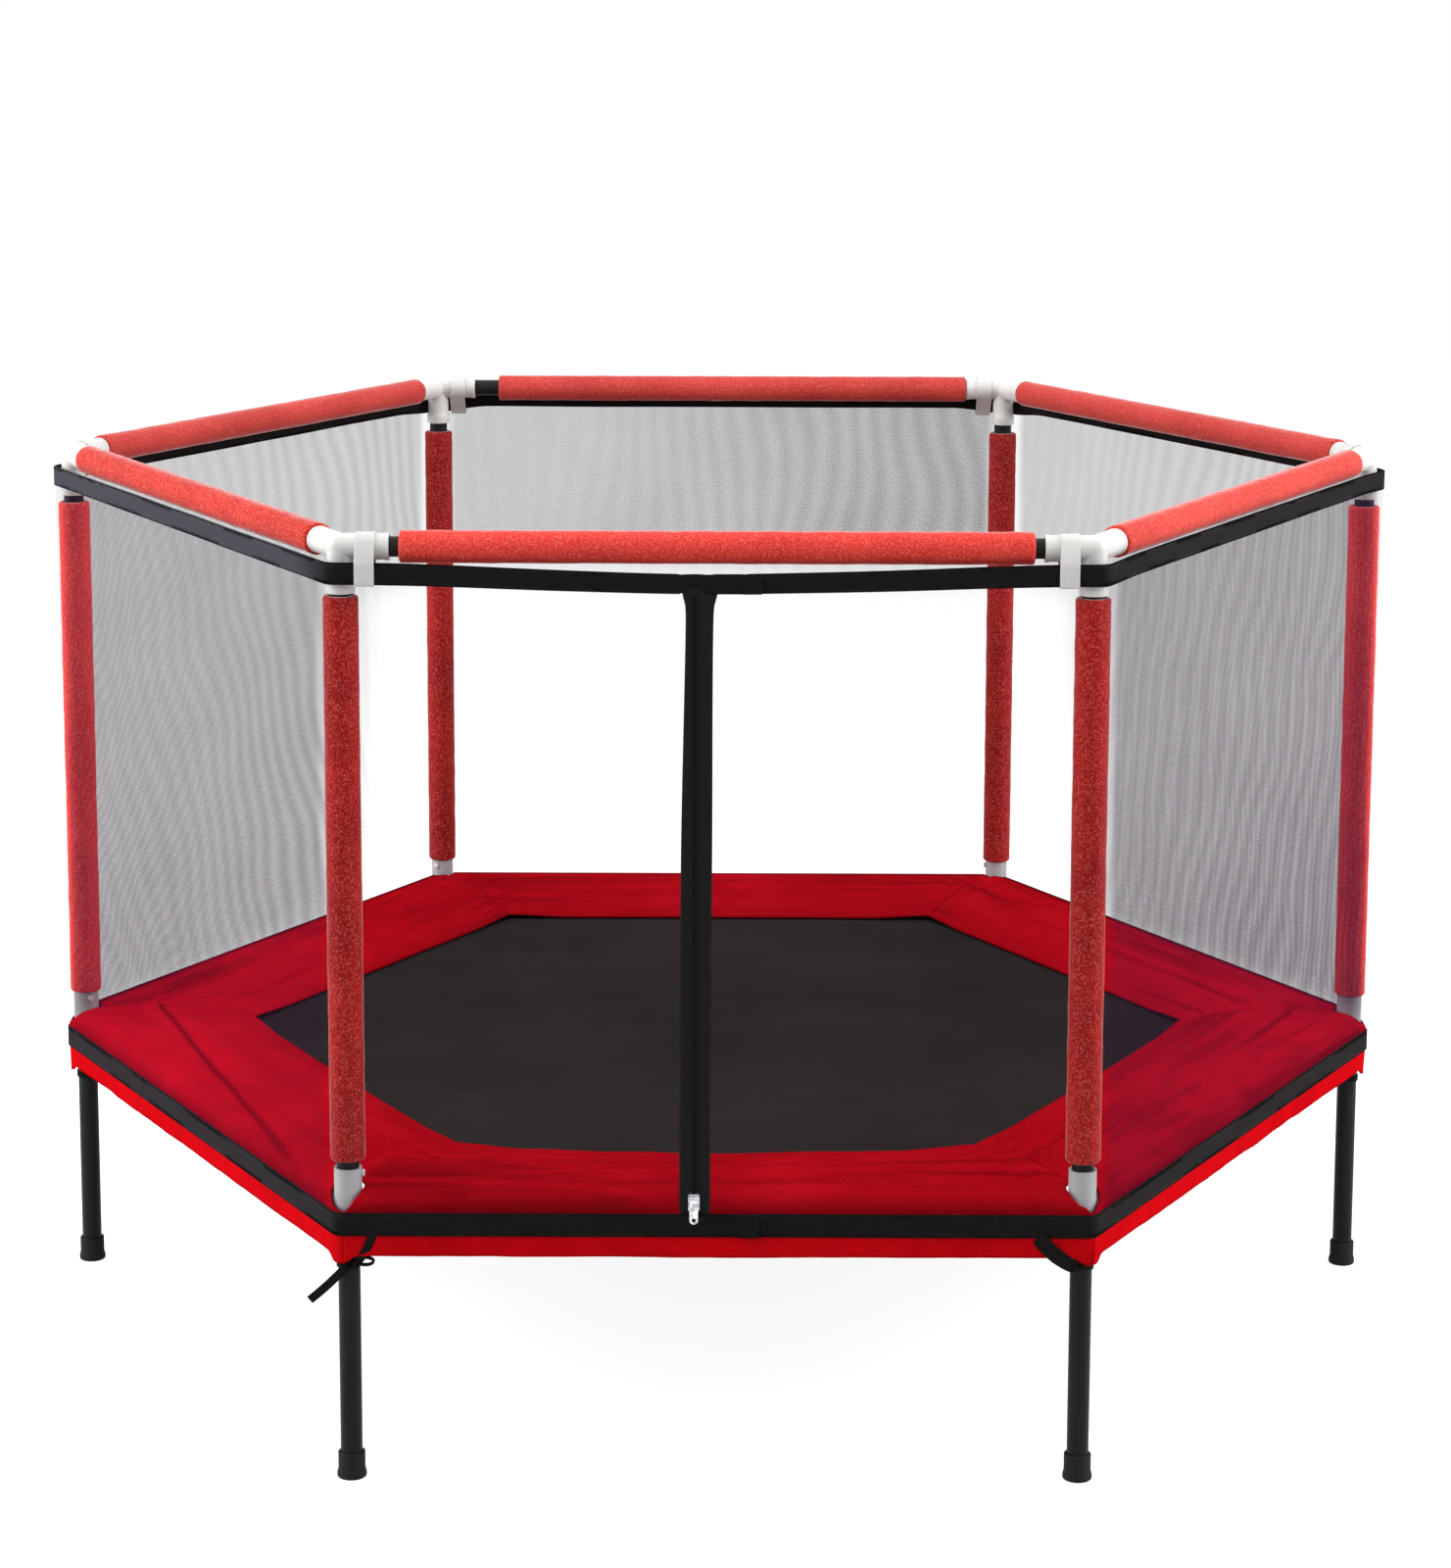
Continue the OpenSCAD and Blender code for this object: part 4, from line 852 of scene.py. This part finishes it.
def mat_border():
    """Folded webbing sewn along the mat's edge, above and below it."""
    inner, outer = MAT_APOTHEM - BORDER_W, MAT_APOTHEM + 0.4 * MM
    rows = [(inner, 0.75), (inner + 0.6 * MM, 1.9), (inner + 5 * MM, 2.1), (inner + 8 * MM, 1.75),
            (inner + 11 * MM, 2.1), (outer - 9 * MM, 2.2), (outer - 6 * MM, 1.8),
            (outer - 2 * MM, 2.1), (outer, 1.2), (outer + 0.2 * MM, 0.0)]
    v = np.linspace(-1, 1, 90)
    faces = grid_faces(len(rows), len(v))
    parts = []
    for angle in SIDES.values():
        for face in (1, -1):
            vertices, uv = [], []
            for u, height in rows:
                ripple = 0.12 * MM * np.sin(v * 190) * (height > 1)
                reach = v * u * TAN30
                vertices.append(on_side(angle, u + 0 * v, reach, MAT_Z + face * (height * MM + ripple)))
                uv.append(np.stack([reach, u + 0 * v], axis=-1))
            parts.append((vertices, [f[::face] for f in faces], uv))
    dress(mesh_object("mat_border", *join(parts)), BLACK_WEB, "mat", body="mat")


def mat_tabs():
    """Webbing folded round each ring's wide bar and sewn back on both faces of the border."""
    upper = []
    for t in np.linspace(0, 1, 9):
        u = MAT_APOTHEM - TAB_BACK + t * (RING_BAR_U - MAT_APOTHEM + TAB_BACK)
        upper.append((u, TAB_LIFT if t < 0.9 else TAB_BEND_R, 0, 1))
    bend = [(RING_BAR_U + TAB_BEND_R * math.cos(a), TAB_BEND_R * math.sin(a), math.cos(a), math.sin(a))
            for a in np.radians(np.linspace(80, -80, 9))]
    lower = [(u, -height, 0, -1) for u, height, _, _ in reversed(upper)]
    line = np.array(upper + bend + lower)
    parts = []
    for angle in SIDES.values():
        facing = on_side(angle, line[:, 2], 0.0, line[:, 3])
        for place in spring_places():
            path = on_side(angle, line[:, 0], place, MAT_Z + line[:, 1])
            parts.append(strap(path, facing, TAB_W, TAB_T))
    dress(mesh_object("mat_tabs", *join(parts)), BLACK_WEB, "mat", body="mat")


# ---------------------------------------------------------------- cover


def cover_section():
    """(u, height) of the cover's upper face from its inner edge over crown and rail to the skirt's foot."""
    edge_z = MAT_Z + 4.4 * MM
    line = [(COVER_IN_U - 0.2 * MM, edge_z - 2.0 * MM), (COVER_IN_U + 0.1 * MM, edge_z - 0.7 * MM),
            (COVER_IN_U + 1.2 * MM, edge_z), (COVER_IN_U + 3 * MM, edge_z + 0.5 * MM)]
    start = np.array(line[-1])
    crown = np.array([APOTHEM - CROWN_IN, RAIL_Z + COVER_RAIL_R + CROWN_H])
    roll_a = math.radians(ROLL_START)
    roll = np.array([APOTHEM + COVER_RAIL_R * math.cos(roll_a), RAIL_Z + COVER_RAIL_R * math.sin(roll_a)])
    for t in np.linspace(0, 1, 36)[1:]:
        line.append((start[0] + t * (crown[0] - start[0]),
                     start[1] + math.sin(t * math.pi / 2) * (crown[1] - start[1])))
    for t in np.linspace(0, 1, 28)[1:-1]:
        line.append((crown[0] + t * (roll[0] - crown[0]),
                     roll[1] + math.cos(t * math.pi / 2) * (crown[1] - roll[1])))
    for a in np.radians(np.linspace(ROLL_START, 0, 18)):
        line.append((APOTHEM + COVER_RAIL_R * math.cos(a), RAIL_Z + COVER_RAIL_R * math.sin(a)))
    for z in np.r_[np.linspace(-1.2, -5.2, 7), np.linspace(-8, (SKIRT_Z - RAIL_Z) / MM, 12)] * MM:
        line.append((SKIRT_U, RAIL_Z + z))
    return np.array(line)


def row_end(side, end, u, z, corner_r):
    """How far a row of the cover reaches towards an end of its side, past seam, cut-out and slot."""
    whole = half_side(u, corner_r) if corner_r > 0.1 * MM else u * TAN30
    aside = u - APOTHEM
    if aside <= -CUT_R:
        return whole
    shift = SEAM_SHIFT.get((side, end), 0.0)
    height, power = (18 * MM, 0.6) if shift else (21 * MM, 0.9)
    opening = np.clip((z - BAND_Z[1] - 0.4 * MM) / height, 0, 1) ** power
    slot = whole + shift - (CUT_R + shift) * opening / COS30
    reach = max(slot, min(whole, (POST_R - u * COS30) * 2))
    if abs(aside) < CUT_R and z > RAIL_Z:
        reach = min(reach, POST_R / 2 - math.sqrt(CUT_R ** 2 - aside ** 2))
    return reach


def cover_relief(side, u, v, step):
    """Height of the pad's folds over its smooth crown; step is the distance from the inner edge."""
    number = SIDE_NAMES.index(side)
    across = np.clip((u - COVER_IN_U) / (APOTHEM - COVER_IN_U), 0, 1)
    ends = np.clip(np.abs(v) / (u * TAN30), 0, 1)
    soft = 2.6 * perlin(u * 14 + number * 11.7, v * 5.0, number * 3.3)
    small = 1.3 * perlin(u * 44 + number * 5.1, v * 15, 7.7 + number)
    wander = 0.5 * perlin(v * 4.5, number * 1.9)
    swell = np.sin((across * 2.6 + wander) * 2 * math.pi + number)
    folds = COVER_FOLDS[number] * swell * np.sin(np.pi * across)
    pleats = np.sin((v / (u * TAN30)) * 62 + number * 2)
    fan = 4.0 * pleats * smooth_step((ends - 0.8) / 0.15) * (1 - ends ** 10)
    relief = soft + small + folds * (1 - ends ** 3) + fan
    if side == "front_left":
        (x0, y0), (x1, y1) = CREASE
        line = step - (y0 + (v - x0) * (y1 - y0) / (x1 - x0))
        held = smooth_step((x1 + 20 * MM - v) / (80 * MM))
        valley = -3.2 * np.exp(-np.abs(line) / (3.5 * MM))
        ridge = 1.6 * np.exp(-((line - 9 * MM) / (6 * MM)) ** 2)
        relief = relief + held * (valley + ridge)
    return relief * MM


def cover_panel(side, angle):
    """One pad's vertices, faces and uv: rows of its section, laid out to its seams, with its folds."""
    section = cover_section()
    columns = 170
    spread = np.linspace(-1, 1, columns)
    spread = np.sign(spread) * (1 - (1 - np.abs(spread)) ** 1.15)
    number = SIDE_NAMES.index(side)
    bow = COVER_BOW.get(side, 3 * MM)
    steps = np.r_[0, np.cumsum(np.linalg.norm(np.diff(section, axis=0), axis=1))]
    vertices, uv = [], []
    for (u, z), step in zip(section, steps):
        corner_r = SKIRT_CORNER_R * float(smooth_step((u - APOTHEM) / COVER_RAIL_R))
        near, far = (row_end(side, end, u, z, corner_r) for end in (-1, 1))
        q = np.where(spread < 0, spread * near, spread * far)
        if corner_r > 0.1 * MM:
            uu, vv, _ = side_path(u, corner_r, q)
        else:
            uu, vv = u + 0 * q, q
        zz = z + 0 * q
        ends = np.abs(vv) / (u * TAN30)
        if z > RAIL_Z and u < APOTHEM:
            share = np.clip((u - COVER_IN_U) / (APOTHEM - 30 * MM - COVER_IN_U), 0, 1)
            rise = smooth_step((u - COVER_IN_U + 1 * MM) / (14 * MM))
            fall = 1 - smooth_step((u - APOTHEM + 20 * MM) / (22 * MM))
            stretch = (1 - share) ** 1.5 * bow * (1 - ends ** 2)
            zz = zz + cover_relief(side, uu, vv, step) * rise * fall
            zz = zz + (1 - share) ** 2 * 3.5 * MM * smooth_step((ends - 0.7) / 0.3)
            zz = zz - 2.8 * MM * np.exp(-((u * TAN30 - np.abs(vv)) / (3.5 * MM)) ** 2) * rise * fall
            uu = uu + stretch
            zz = zz - stretch * 0.04
        if z < RAIL_Z:
            hang = float(smooth_step((RAIL_Z - 26 * MM - z) / (24 * MM)))
            wave = perlin(vv * 13 + number * 4.2, 1.3, number) + 0.5 * perlin(vv * 37, 5.1, number)
            uu = uu + np.clip(hang * (1.8 * MM * wave - 0.6 * MM), -4 * MM, 2.6 * MM)
            tuft = np.exp(-((half_side(SKIRT_U, SKIRT_CORNER_R) - np.abs(q)) / (14 * MM)) ** 4)
            zz = zz - hang * (8 * MM * tuft - 0.9 * MM * perlin(vv * 9, 8.8, number))
        vertices.append(on_side(angle, uu, vv, zz))
        uv.append(np.stack([vv, step + 0 * vv], axis=-1))
    return vertices, grid_faces(len(section), columns), uv


def cover():
    """Six mitred pads, sewn corner to corner."""
    for side, angle in SIDES.items():
        obj = mesh_object("cover_" + side, *cover_panel(side, angle))
        thicken(obj, COVER_T, -1)
        dress(obj, CREASED_PVC if side == "front_left" else PVC, "cover", body=None)
        on_side(angle, COVER_HELD_U, 0.0, RAIL_Z)
        on_side(angle, COVER_FREE_U, 0.0, RAIL_Z)
        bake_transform(obj)


# ---------------------------------------------------------------- hem, band, straps and net


def sag(side_number, q):
    """How far the upper hem hangs below its corners; a drawn hem lies higher between them."""
    depth = np.array(HEM_SAG)[side_number]
    inward = np.clip(1 - np.abs(q) / half_side(HEM_U, BAND_CORNER_R), 0, 1)
    return depth * np.where(depth > 0, np.sin(inward * math.pi / 2) ** 2, smooth_step(inward / 0.2))


def ring_strip(name, u, z_range, thickness, slack, wave, seed):
    """A woven strip round the enclosure with its ends lapped on the front side. With slack it sags, and
    its lower edge leaves room for the zip's slider."""
    whole = 12 * half_side(u, BAND_CORNER_R)
    q = np.linspace(SEAM_Q, SEAM_Q + whole + SEAM_LAP, 900)
    points, out, side, local = ring_path(u, BAND_CORNER_R, q)
    lap = smooth_step((q - SEAM_Q - whole + 10 * MM) / (10 * MM)) * thickness * 0.95
    drift = wave * perlin(q * 7, seed) * MM
    lean = 0.4 * wave * perlin(q * 9, seed + 4.4) * MM
    middle_z = sum(z_range) / 2 - slack * sag(side, local) + drift
    xy = points + out * (lap + 0.15 * lean)[:, None]
    path = np.column_stack([xy, middle_z])
    facing = np.column_stack([out, lean * 60])
    height = (z_range[1] - z_range[0]) * (1 + 0.015 * perlin(q * 6, seed + 2.0))
    height = height - slack * 0.25 * np.maximum(sag(side, local), 0)
    if slack:
        notch = ZIP_NOTCH[1] * np.exp(-((xy[:, 0] - ZIP_X) / ZIP_NOTCH[0]) ** 6) * (xy[:, 1] < 0)
        height = height - notch
        path[:, 2] += notch / 2
    return mesh_object(name, *strap(path, facing, height, thickness))


def hem_and_band():
    hem = ring_strip("top_hem_strip", HEM_U, HEM_Z, 2.6 * MM, 1.0, 0.7, 1.0)
    dress(hem, HEM_WEB, "top_hem")
    band = ring_strip("bottom_band_strip", HEM_U, BAND_Z, 2.6 * MM, 0.0, 0.35, 5.0)
    dress(band, BAND_WEB, "bottom_band")


def strap_loop():
    """(u, height) of a strap's loop round the elbow's port and the hem, from the rail's axis."""
    gap = 0.3 * MM + STRAP_T / 2
    r = ELBOW_R + gap
    inner_u, outer_u = HEM_OUT_U - HEM_T - gap - APOTHEM, HEM_OUT_U + gap - APOTHEM
    low = HEM_Z[0] - TOP_RAIL_Z - gap
    high = HEM_Z[1] - TOP_RAIL_Z
    turn_r = (outer_u - inner_u) / 2
    line = [((inner_u + outer_u) / 2 - turn_r * math.cos(a), low + turn_r * 0.6 - turn_r * 0.6 * math.sin(a))
            for a in np.radians(np.linspace(0, 180, 9))]
    line += [(outer_u, low + (high - low) * t) for t in (0.3, 0.6, 0.85, 1.0)]
    a0 = math.atan2(high, outer_u) + math.acos(min(1, r / math.hypot(high, outer_u)))
    a1 = math.atan2(low, inner_u) - math.acos(min(1, r / math.hypot(low, inner_u))) + 2 * math.pi
    line += [(r * math.cos(a), r * math.sin(a)) for a in np.linspace(a0, a1, 22)]
    end = np.array(line[-1])
    line += [tuple(end + (np.array([inner_u, low + turn_r * 0.6]) - end) * t) for t in (0.25, 0.5, 0.75)]
    return np.array(line)


def straps():
    """Six straps: at both ends of the front and back sides, and right behind the left and right corners."""
    line = strap_loop()
    tangent = np.roll(line, -1, 0) - np.roll(line, 1, 0)
    out = np.column_stack([tangent[:, 1], -tangent[:, 0]])
    places = [("front", -1), ("front", 1), ("back_right", -1), ("back_left", 1), ("back", -1), ("back", 1)]
    for number, (side, end) in enumerate(places):
        angle = SIDES[side]
        slip = 1.5 * MM * math.sin(number * 2.3)
        path = on_side(angle, APOTHEM + line[:, 0], end * STRAP_PLACE + slip * (line[:, 1] > -10 * MM),
                       TOP_RAIL_Z + line[:, 1])
        facing = on_side(angle, out[:, 0], 0.0, out[:, 1])
        obj = mesh_object(f"hem_strap_{number + 1}", *strap(path, facing, STRAP_W, STRAP_T, closed=True))
        dress(obj, WHITE_WEB, "hem_straps")


def net_surface(side, q, rise):
    """Points of a net: q along the side, rise from 0 at the band to 1 at the hem."""
    number = SIDE_NAMES.index(side)
    low = BAND_Z[1] - 2 * MM
    high = HEM_Z[0] + 2 * MM - sag(number, q)
    u, v, _ = side_path(HEM_U, BAND_CORNER_R, q)
    half = half_side(HEM_U, BAND_CORNER_R)
    free = (1 - (np.abs(q) / half) ** 6) * np.sin(np.pi * rise) ** 0.7
    folds = perlin(q * 5.2 + number * 3, rise * 1.4, number * 2.2)
    folds = folds + 0.45 * perlin(q * 16, rise * 2.2, 5.5 + number)
    drape = perlin(q * 21 + number, rise * 5, 9.1) * np.exp(-(rise / 0.22)) * 1.2
    out = NET_BILLOW[number] * 2.3 * MM * folds * free + drape * MM * free
    return u + out, v, low + (high - low) * rise


def net_panel(name, side, q0, q1, material, node):
    """One piece of net from q0 to q1 along a side."""
    columns, rows = max(12, int((q1 - q0) / (9 * MM))), 60
    q, rise = np.meshgrid(np.linspace(q0, q1, columns), np.linspace(0, 1, rows))
    u, v, z = net_surface(side, q, rise)
    points = on_side(SIDES[side], u, v, z)
    obj = mesh_object(name, points, grid_faces(rows, columns), np.stack([q, z], axis=-1))
    dress(obj, material, node)


def nets():
    half = half_side(HEM_U, BAND_CORNER_R)
    edge = ZIP_W / 2 - 8 * MM
    net_panel("door_net_left", "front", -half, ZIP_X - edge, DOOR_NET, "net_front_left_of_zip")
    net_panel("door_net_right", "front", ZIP_X + edge, half, DOOR_NET, "net_front_right_of_zip")
    for side, material in SIDE_NETS.items():
        net_panel("net_sheet_" + side, side, -half, half, material, "net_" + side)


# ---------------------------------------------------------------- zip


def zip_bow(rise):
    """How far the tape strays to the right between band and hem."""
    return (0.8 - 0.8 * rise + 5.2 * rise ** 2) * MM


def zip_tape():
    """The tape between band and hem, a little narrower near the hem and flared right under it."""
    rise, across = np.meshgrid(np.linspace(0, 1, 90), np.linspace(-1, 1, 13), indexing="ij")
    low, high = BAND_Z[1] - 3 * MM, HEM_Z[0] - float(sag(0, ZIP_X)) + 3 * MM + ZIP_NOTCH[1]
    z = low + (high - low) * rise
    flare = 4.5 * MM * np.exp(-np.clip(1 - rise - 0.018, 0, 1) / 0.009)
    half = ZIP_W / 2 - 2 * MM * smooth_step((rise - 0.55) / 0.4) + flare
    x = ZIP_X + zip_bow(rise) + across * half
    folds = 0.35 * MM * perlin(z * 14, across * 2)
    u = TAPE_U - 0.6 * MM + folds - 0.5 * MM * np.abs(across) ** 6
    obj = mesh_object("zip_tape_cloth", np.stack([x, -u, z], axis=-1), grid_faces(*z.shape),
                      np.stack([x, z], axis=-1))
    thicken(obj, 0.8 * MM, -1)
    dress(obj, ZIP_CLOTH, "zip_tape")


def zip_coil():
    """Two rows of nylon turns that meet on the middle line, on a sewn core."""
    low, high = BAND_Z[1], HEM_Z[0] - float(sag(0, ZIP_X))
    parts = []
    pitch = 1.35 * MM
    count = int((high - low) / pitch)
    middle_u = (TAPE_U + 0.3 * MM + COIL_FRONT_U) / 2
    deep = (COIL_FRONT_U - TAPE_U) / 2 - 0.55 * MM
    for row in (-1, 1):
        steps = np.arange(count * 8)
        a = steps * 2 * math.pi / 8
        z = low + 1 * MM + (steps / 8 + (0.5 if row > 0 else 0.0)) * pitch
        z = np.minimum(z, high - 0.6 * MM)
        x = ZIP_X + row * (1.15 * MM - 0.95 * MM * np.cos(a))
        path = np.column_stack([x, -(middle_u + deep * np.sin(a)), z])
        parts.append(rod(path, 0.36 * MM, 5))
    core = [(ZIP_X, -middle_u, z) for z in np.linspace(low + 1 * MM, high - 1 * MM, 12)]
    parts.append(rod(core, 0.7 * MM, 8))
    dress(mesh_object("zip_teeth", *join(parts)), ZIP_CLOTH, "zip_coil")


# ---------------------------------------------------------------- ties


def leg_tie(name, angle, end, reach, broad, bow):
    """A ribbon from the skirt's foot, reach away along the side that end names, to a loop and a knot at
    the leg. broad scales its width, and bow is the length of the loose bow beside the knot."""
    base = POST_R * heading(angle)
    along, outward = heading(angle + end * 120), heading(angle + end * 30)
    up = np.array([0, 0, 1.0])
    leg_r = POST_TUBE_R + 1.2 * MM
    tilt = 2.2 * MM
    middle_z = TIE_Z + TIE_W / 2
    facing = [math.cos(t) * along + math.sin(t) * outward for t in around(32)]
    loop = [base + leg_r * face + up * (middle_z + tilt * math.cos(t)) for t, face in zip(around(32), facing)]
    parts = [strap(loop, facing, TIE_W * 0.85, 1.1 * MM, closed=True)]
    out = SKIRT_U - APOTHEM + 1.6 * MM
    knot = base + outward * (leg_r + 1.5 * MM) + along * (leg_r * 0.55) + up * middle_z
    tip = base + outward * (out + 2 * MM) + along * reach + up * (BAND_Z[0] + 1 * MM)
    bend = base + outward * (out + 3 * MM) + along * (leg_r + reach) / 2 + up * (middle_z + 15 * MM)
    for drop in (0.0, 4 * MM * (broad - 1)):
        line = [(1 - t) ** 2 * knot + 2 * t * (1 - t) * (bend - up * drop) + t * t * (tip - up * drop * 0.5)
                for t in np.linspace(0, 1, 15)]
        parts.append(strap(line, np.tile(outward + 0.3 * along, (15, 1)), TIE_W * broad, 1.0 * MM))
    beside = knot + along * (bow + 2 * MM) + outward * 1.5 * MM + up * 5 * MM
    bends = [(knot, outward, 2.6 * MM, 4.2 * MM, 1.3 * MM), (beside, along, bow, 4.0 * MM, 2.2 * MM)]
    for centre, other, length, high, thickness in bends:
        if length > 0:
            line = [centre + other * (length * math.cos(t)) + up * (high * math.sin(t)) for t in around(16)]
            face = [other * (math.cos(t) / length) + up * (math.sin(t) / high) for t in around(16)]
            parts.append(strap(line, face, TIE_W * 0.75, thickness, closed=True))
    dress(mesh_object(name, *join(parts)), BLACK_WEB, "leg_ties")


def ties():
    for corner, angle in CORNERS.items():
        leg_tie("leg_tie_" + corner, angle, TIE_ENDS.get(corner, -1), *TIE_RIBBONS.get(corner, TIE_RIBBON))


def tail():
    """The front left tie's free end."""
    start = np.array([-POST_R / 2, -APOTHEM - 13.9 * MM, TIE_Z + TIE_W / 2])
    reach, fall, bow = 40 * MM, 38 * MM, 0.15
    t = np.linspace(0, 1, 17)
    path = np.column_stack([start[0] - reach * t, np.full(17, start[1]),
                            start[2] - fall * t * (1 + bow * (1 - t))])
    width = TIE_W * 1.3
    obj = mesh_object("leg_tie_free_end", *strap(path, np.tile([0, -1.0, 0], (17, 1)), width, 1.2 * MM))
    dress(obj, BLACK_WEB, "leg_tie_tail")


# ---------------------------------------------------------------- floor, light and camera

FLOOR_HALF = 60.0
FLOOR_GLOW = 0.84
ROOM_POWER = 0.32
LIT_PLACE = (0, 0, 0.4)
FOCAL_PIXELS = 3923.8  # in pixels of the photograph, as PICTURE_H
PICTURE_H = 1600
SENSOR = 36.0
SHIFT_Y = -0.15
CAMERA_PLACE = (12.48 * MM, -4477.41 * MM, 1615.92 * MM)
CAMERA_PITCH, CAMERA_YAW, CAMERA_ROLL = (math.radians(d) for d in (9.37, -0.06, 0.18))


def floor():
    """A pale studio floor. It adds light for what the camera, a gloss or a glass sees, and keeps shadows."""
    corners = [(FLOOR_HALF * x, FLOOR_HALF * y, 0) for x, y in ((-1, -1), (1, -1), (1, 1), (-1, 1))]
    obj = mesh_object("floor", corners, [(0, 1, 2, 3)])
    material = bpy.data.materials.new("floor")
    tree = Tree(material)
    diffuse = tree.add("BsdfDiffuse", {"Color": (0.5, 0.5, 0.5, 1)})
    glow = tree.add("Emission", {"Strength": tree.times(tree.seen(), FLOOR_GLOW)})
    both = tree.add("AddShader", {0: diffuse.outputs[0], 1: glow.outputs[0]})
    tree.add("OutputMaterial", {0: both.outputs[0]})
    obj.data.materials.append(material)


def world():
    """White for what the camera, a gloss or a glass sees, and a softer room for the object's light."""
    studio = bpy.data.worlds.new("studio")
    bpy.context.scene.world = studio
    tree = Tree(studio)
    room = tree.add("Background", {"Color": (1, 1, 1, 1), "Strength": ROOM_POWER})
    white = tree.add("Background", {"Color": (1, 1, 1, 1), "Strength": 1.0})
    both = tree.add("MixShader", {0: tree.seen(), 1: room.outputs[0], 2: white.outputs[0]})
    tree.add("OutputWorld", {0: both.outputs[0]})


def area_light(name, place, size, power):
    light = bpy.data.lights.new(name, "AREA")
    light.shape = "RECTANGLE"
    light.size, light.size_y = size
    light.energy = power
    obj = bpy.data.objects.new(name, light)
    obj.location = place
    obj.rotation_euler = (Vector(LIT_PLACE) - Vector(place)).to_track_quat("-Z", "Y").to_euler()
    bpy.context.scene.collection.objects.link(obj)


def lights():
    area_light("above", (0, -0.2, 3.8), (4.0, 3.4), 84)
    area_light("left", (-3.6, -0.6, 1.7), (2.6, 2.4), 140)
    area_light("right", (3.6, -0.6, 1.7), (2.6, 2.4), 130)
    area_light("front", (0, -2.4, 2.4), (1.8, 0.8), 15)
    area_light("back", (0, 2.6, 2.4), (1.8, 0.8), 15)


def camera():
    """The photograph's view. Pitch is downward, yaw to the right, and roll lifts the camera's right side."""
    data = bpy.data.cameras.new("camera")
    data.sensor_width = SENSOR
    data.lens = FOCAL_PIXELS * SENSOR / PICTURE_H
    data.shift_y = SHIFT_Y
    data.clip_end = 200
    p, y, r = CAMERA_PITCH, CAMERA_YAW, CAMERA_ROLL
    forward = Vector((math.sin(y) * math.cos(p), math.cos(y) * math.cos(p), -math.sin(p)))
    right = Vector((math.cos(y), -math.sin(y), 0))
    up = right.cross(forward)
    right, up = right * math.cos(r) + up * math.sin(r), up * math.cos(r) - right * math.sin(r)
    obj = bpy.data.objects.new("camera", data)
    turn = Matrix((right, up, -forward)).transposed().to_4x4()
    obj.matrix_world = Matrix.Translation(CAMERA_PLACE) @ turn
    bpy.context.scene.collection.objects.link(obj)
    bpy.context.scene.camera = obj


# ---------------------------------------------------------------- the scene

camera()
tail()
carried_pieces()
foam_sleeves()
springs()
mat_sheet()
mat_border()
mat_tabs()
cover()
hem_and_band()
straps()
nets()
zip_tape()
zip_coil()
ties()
floor()
world()
lights()

bpy.context.scene.view_settings.view_transform = "Standard"
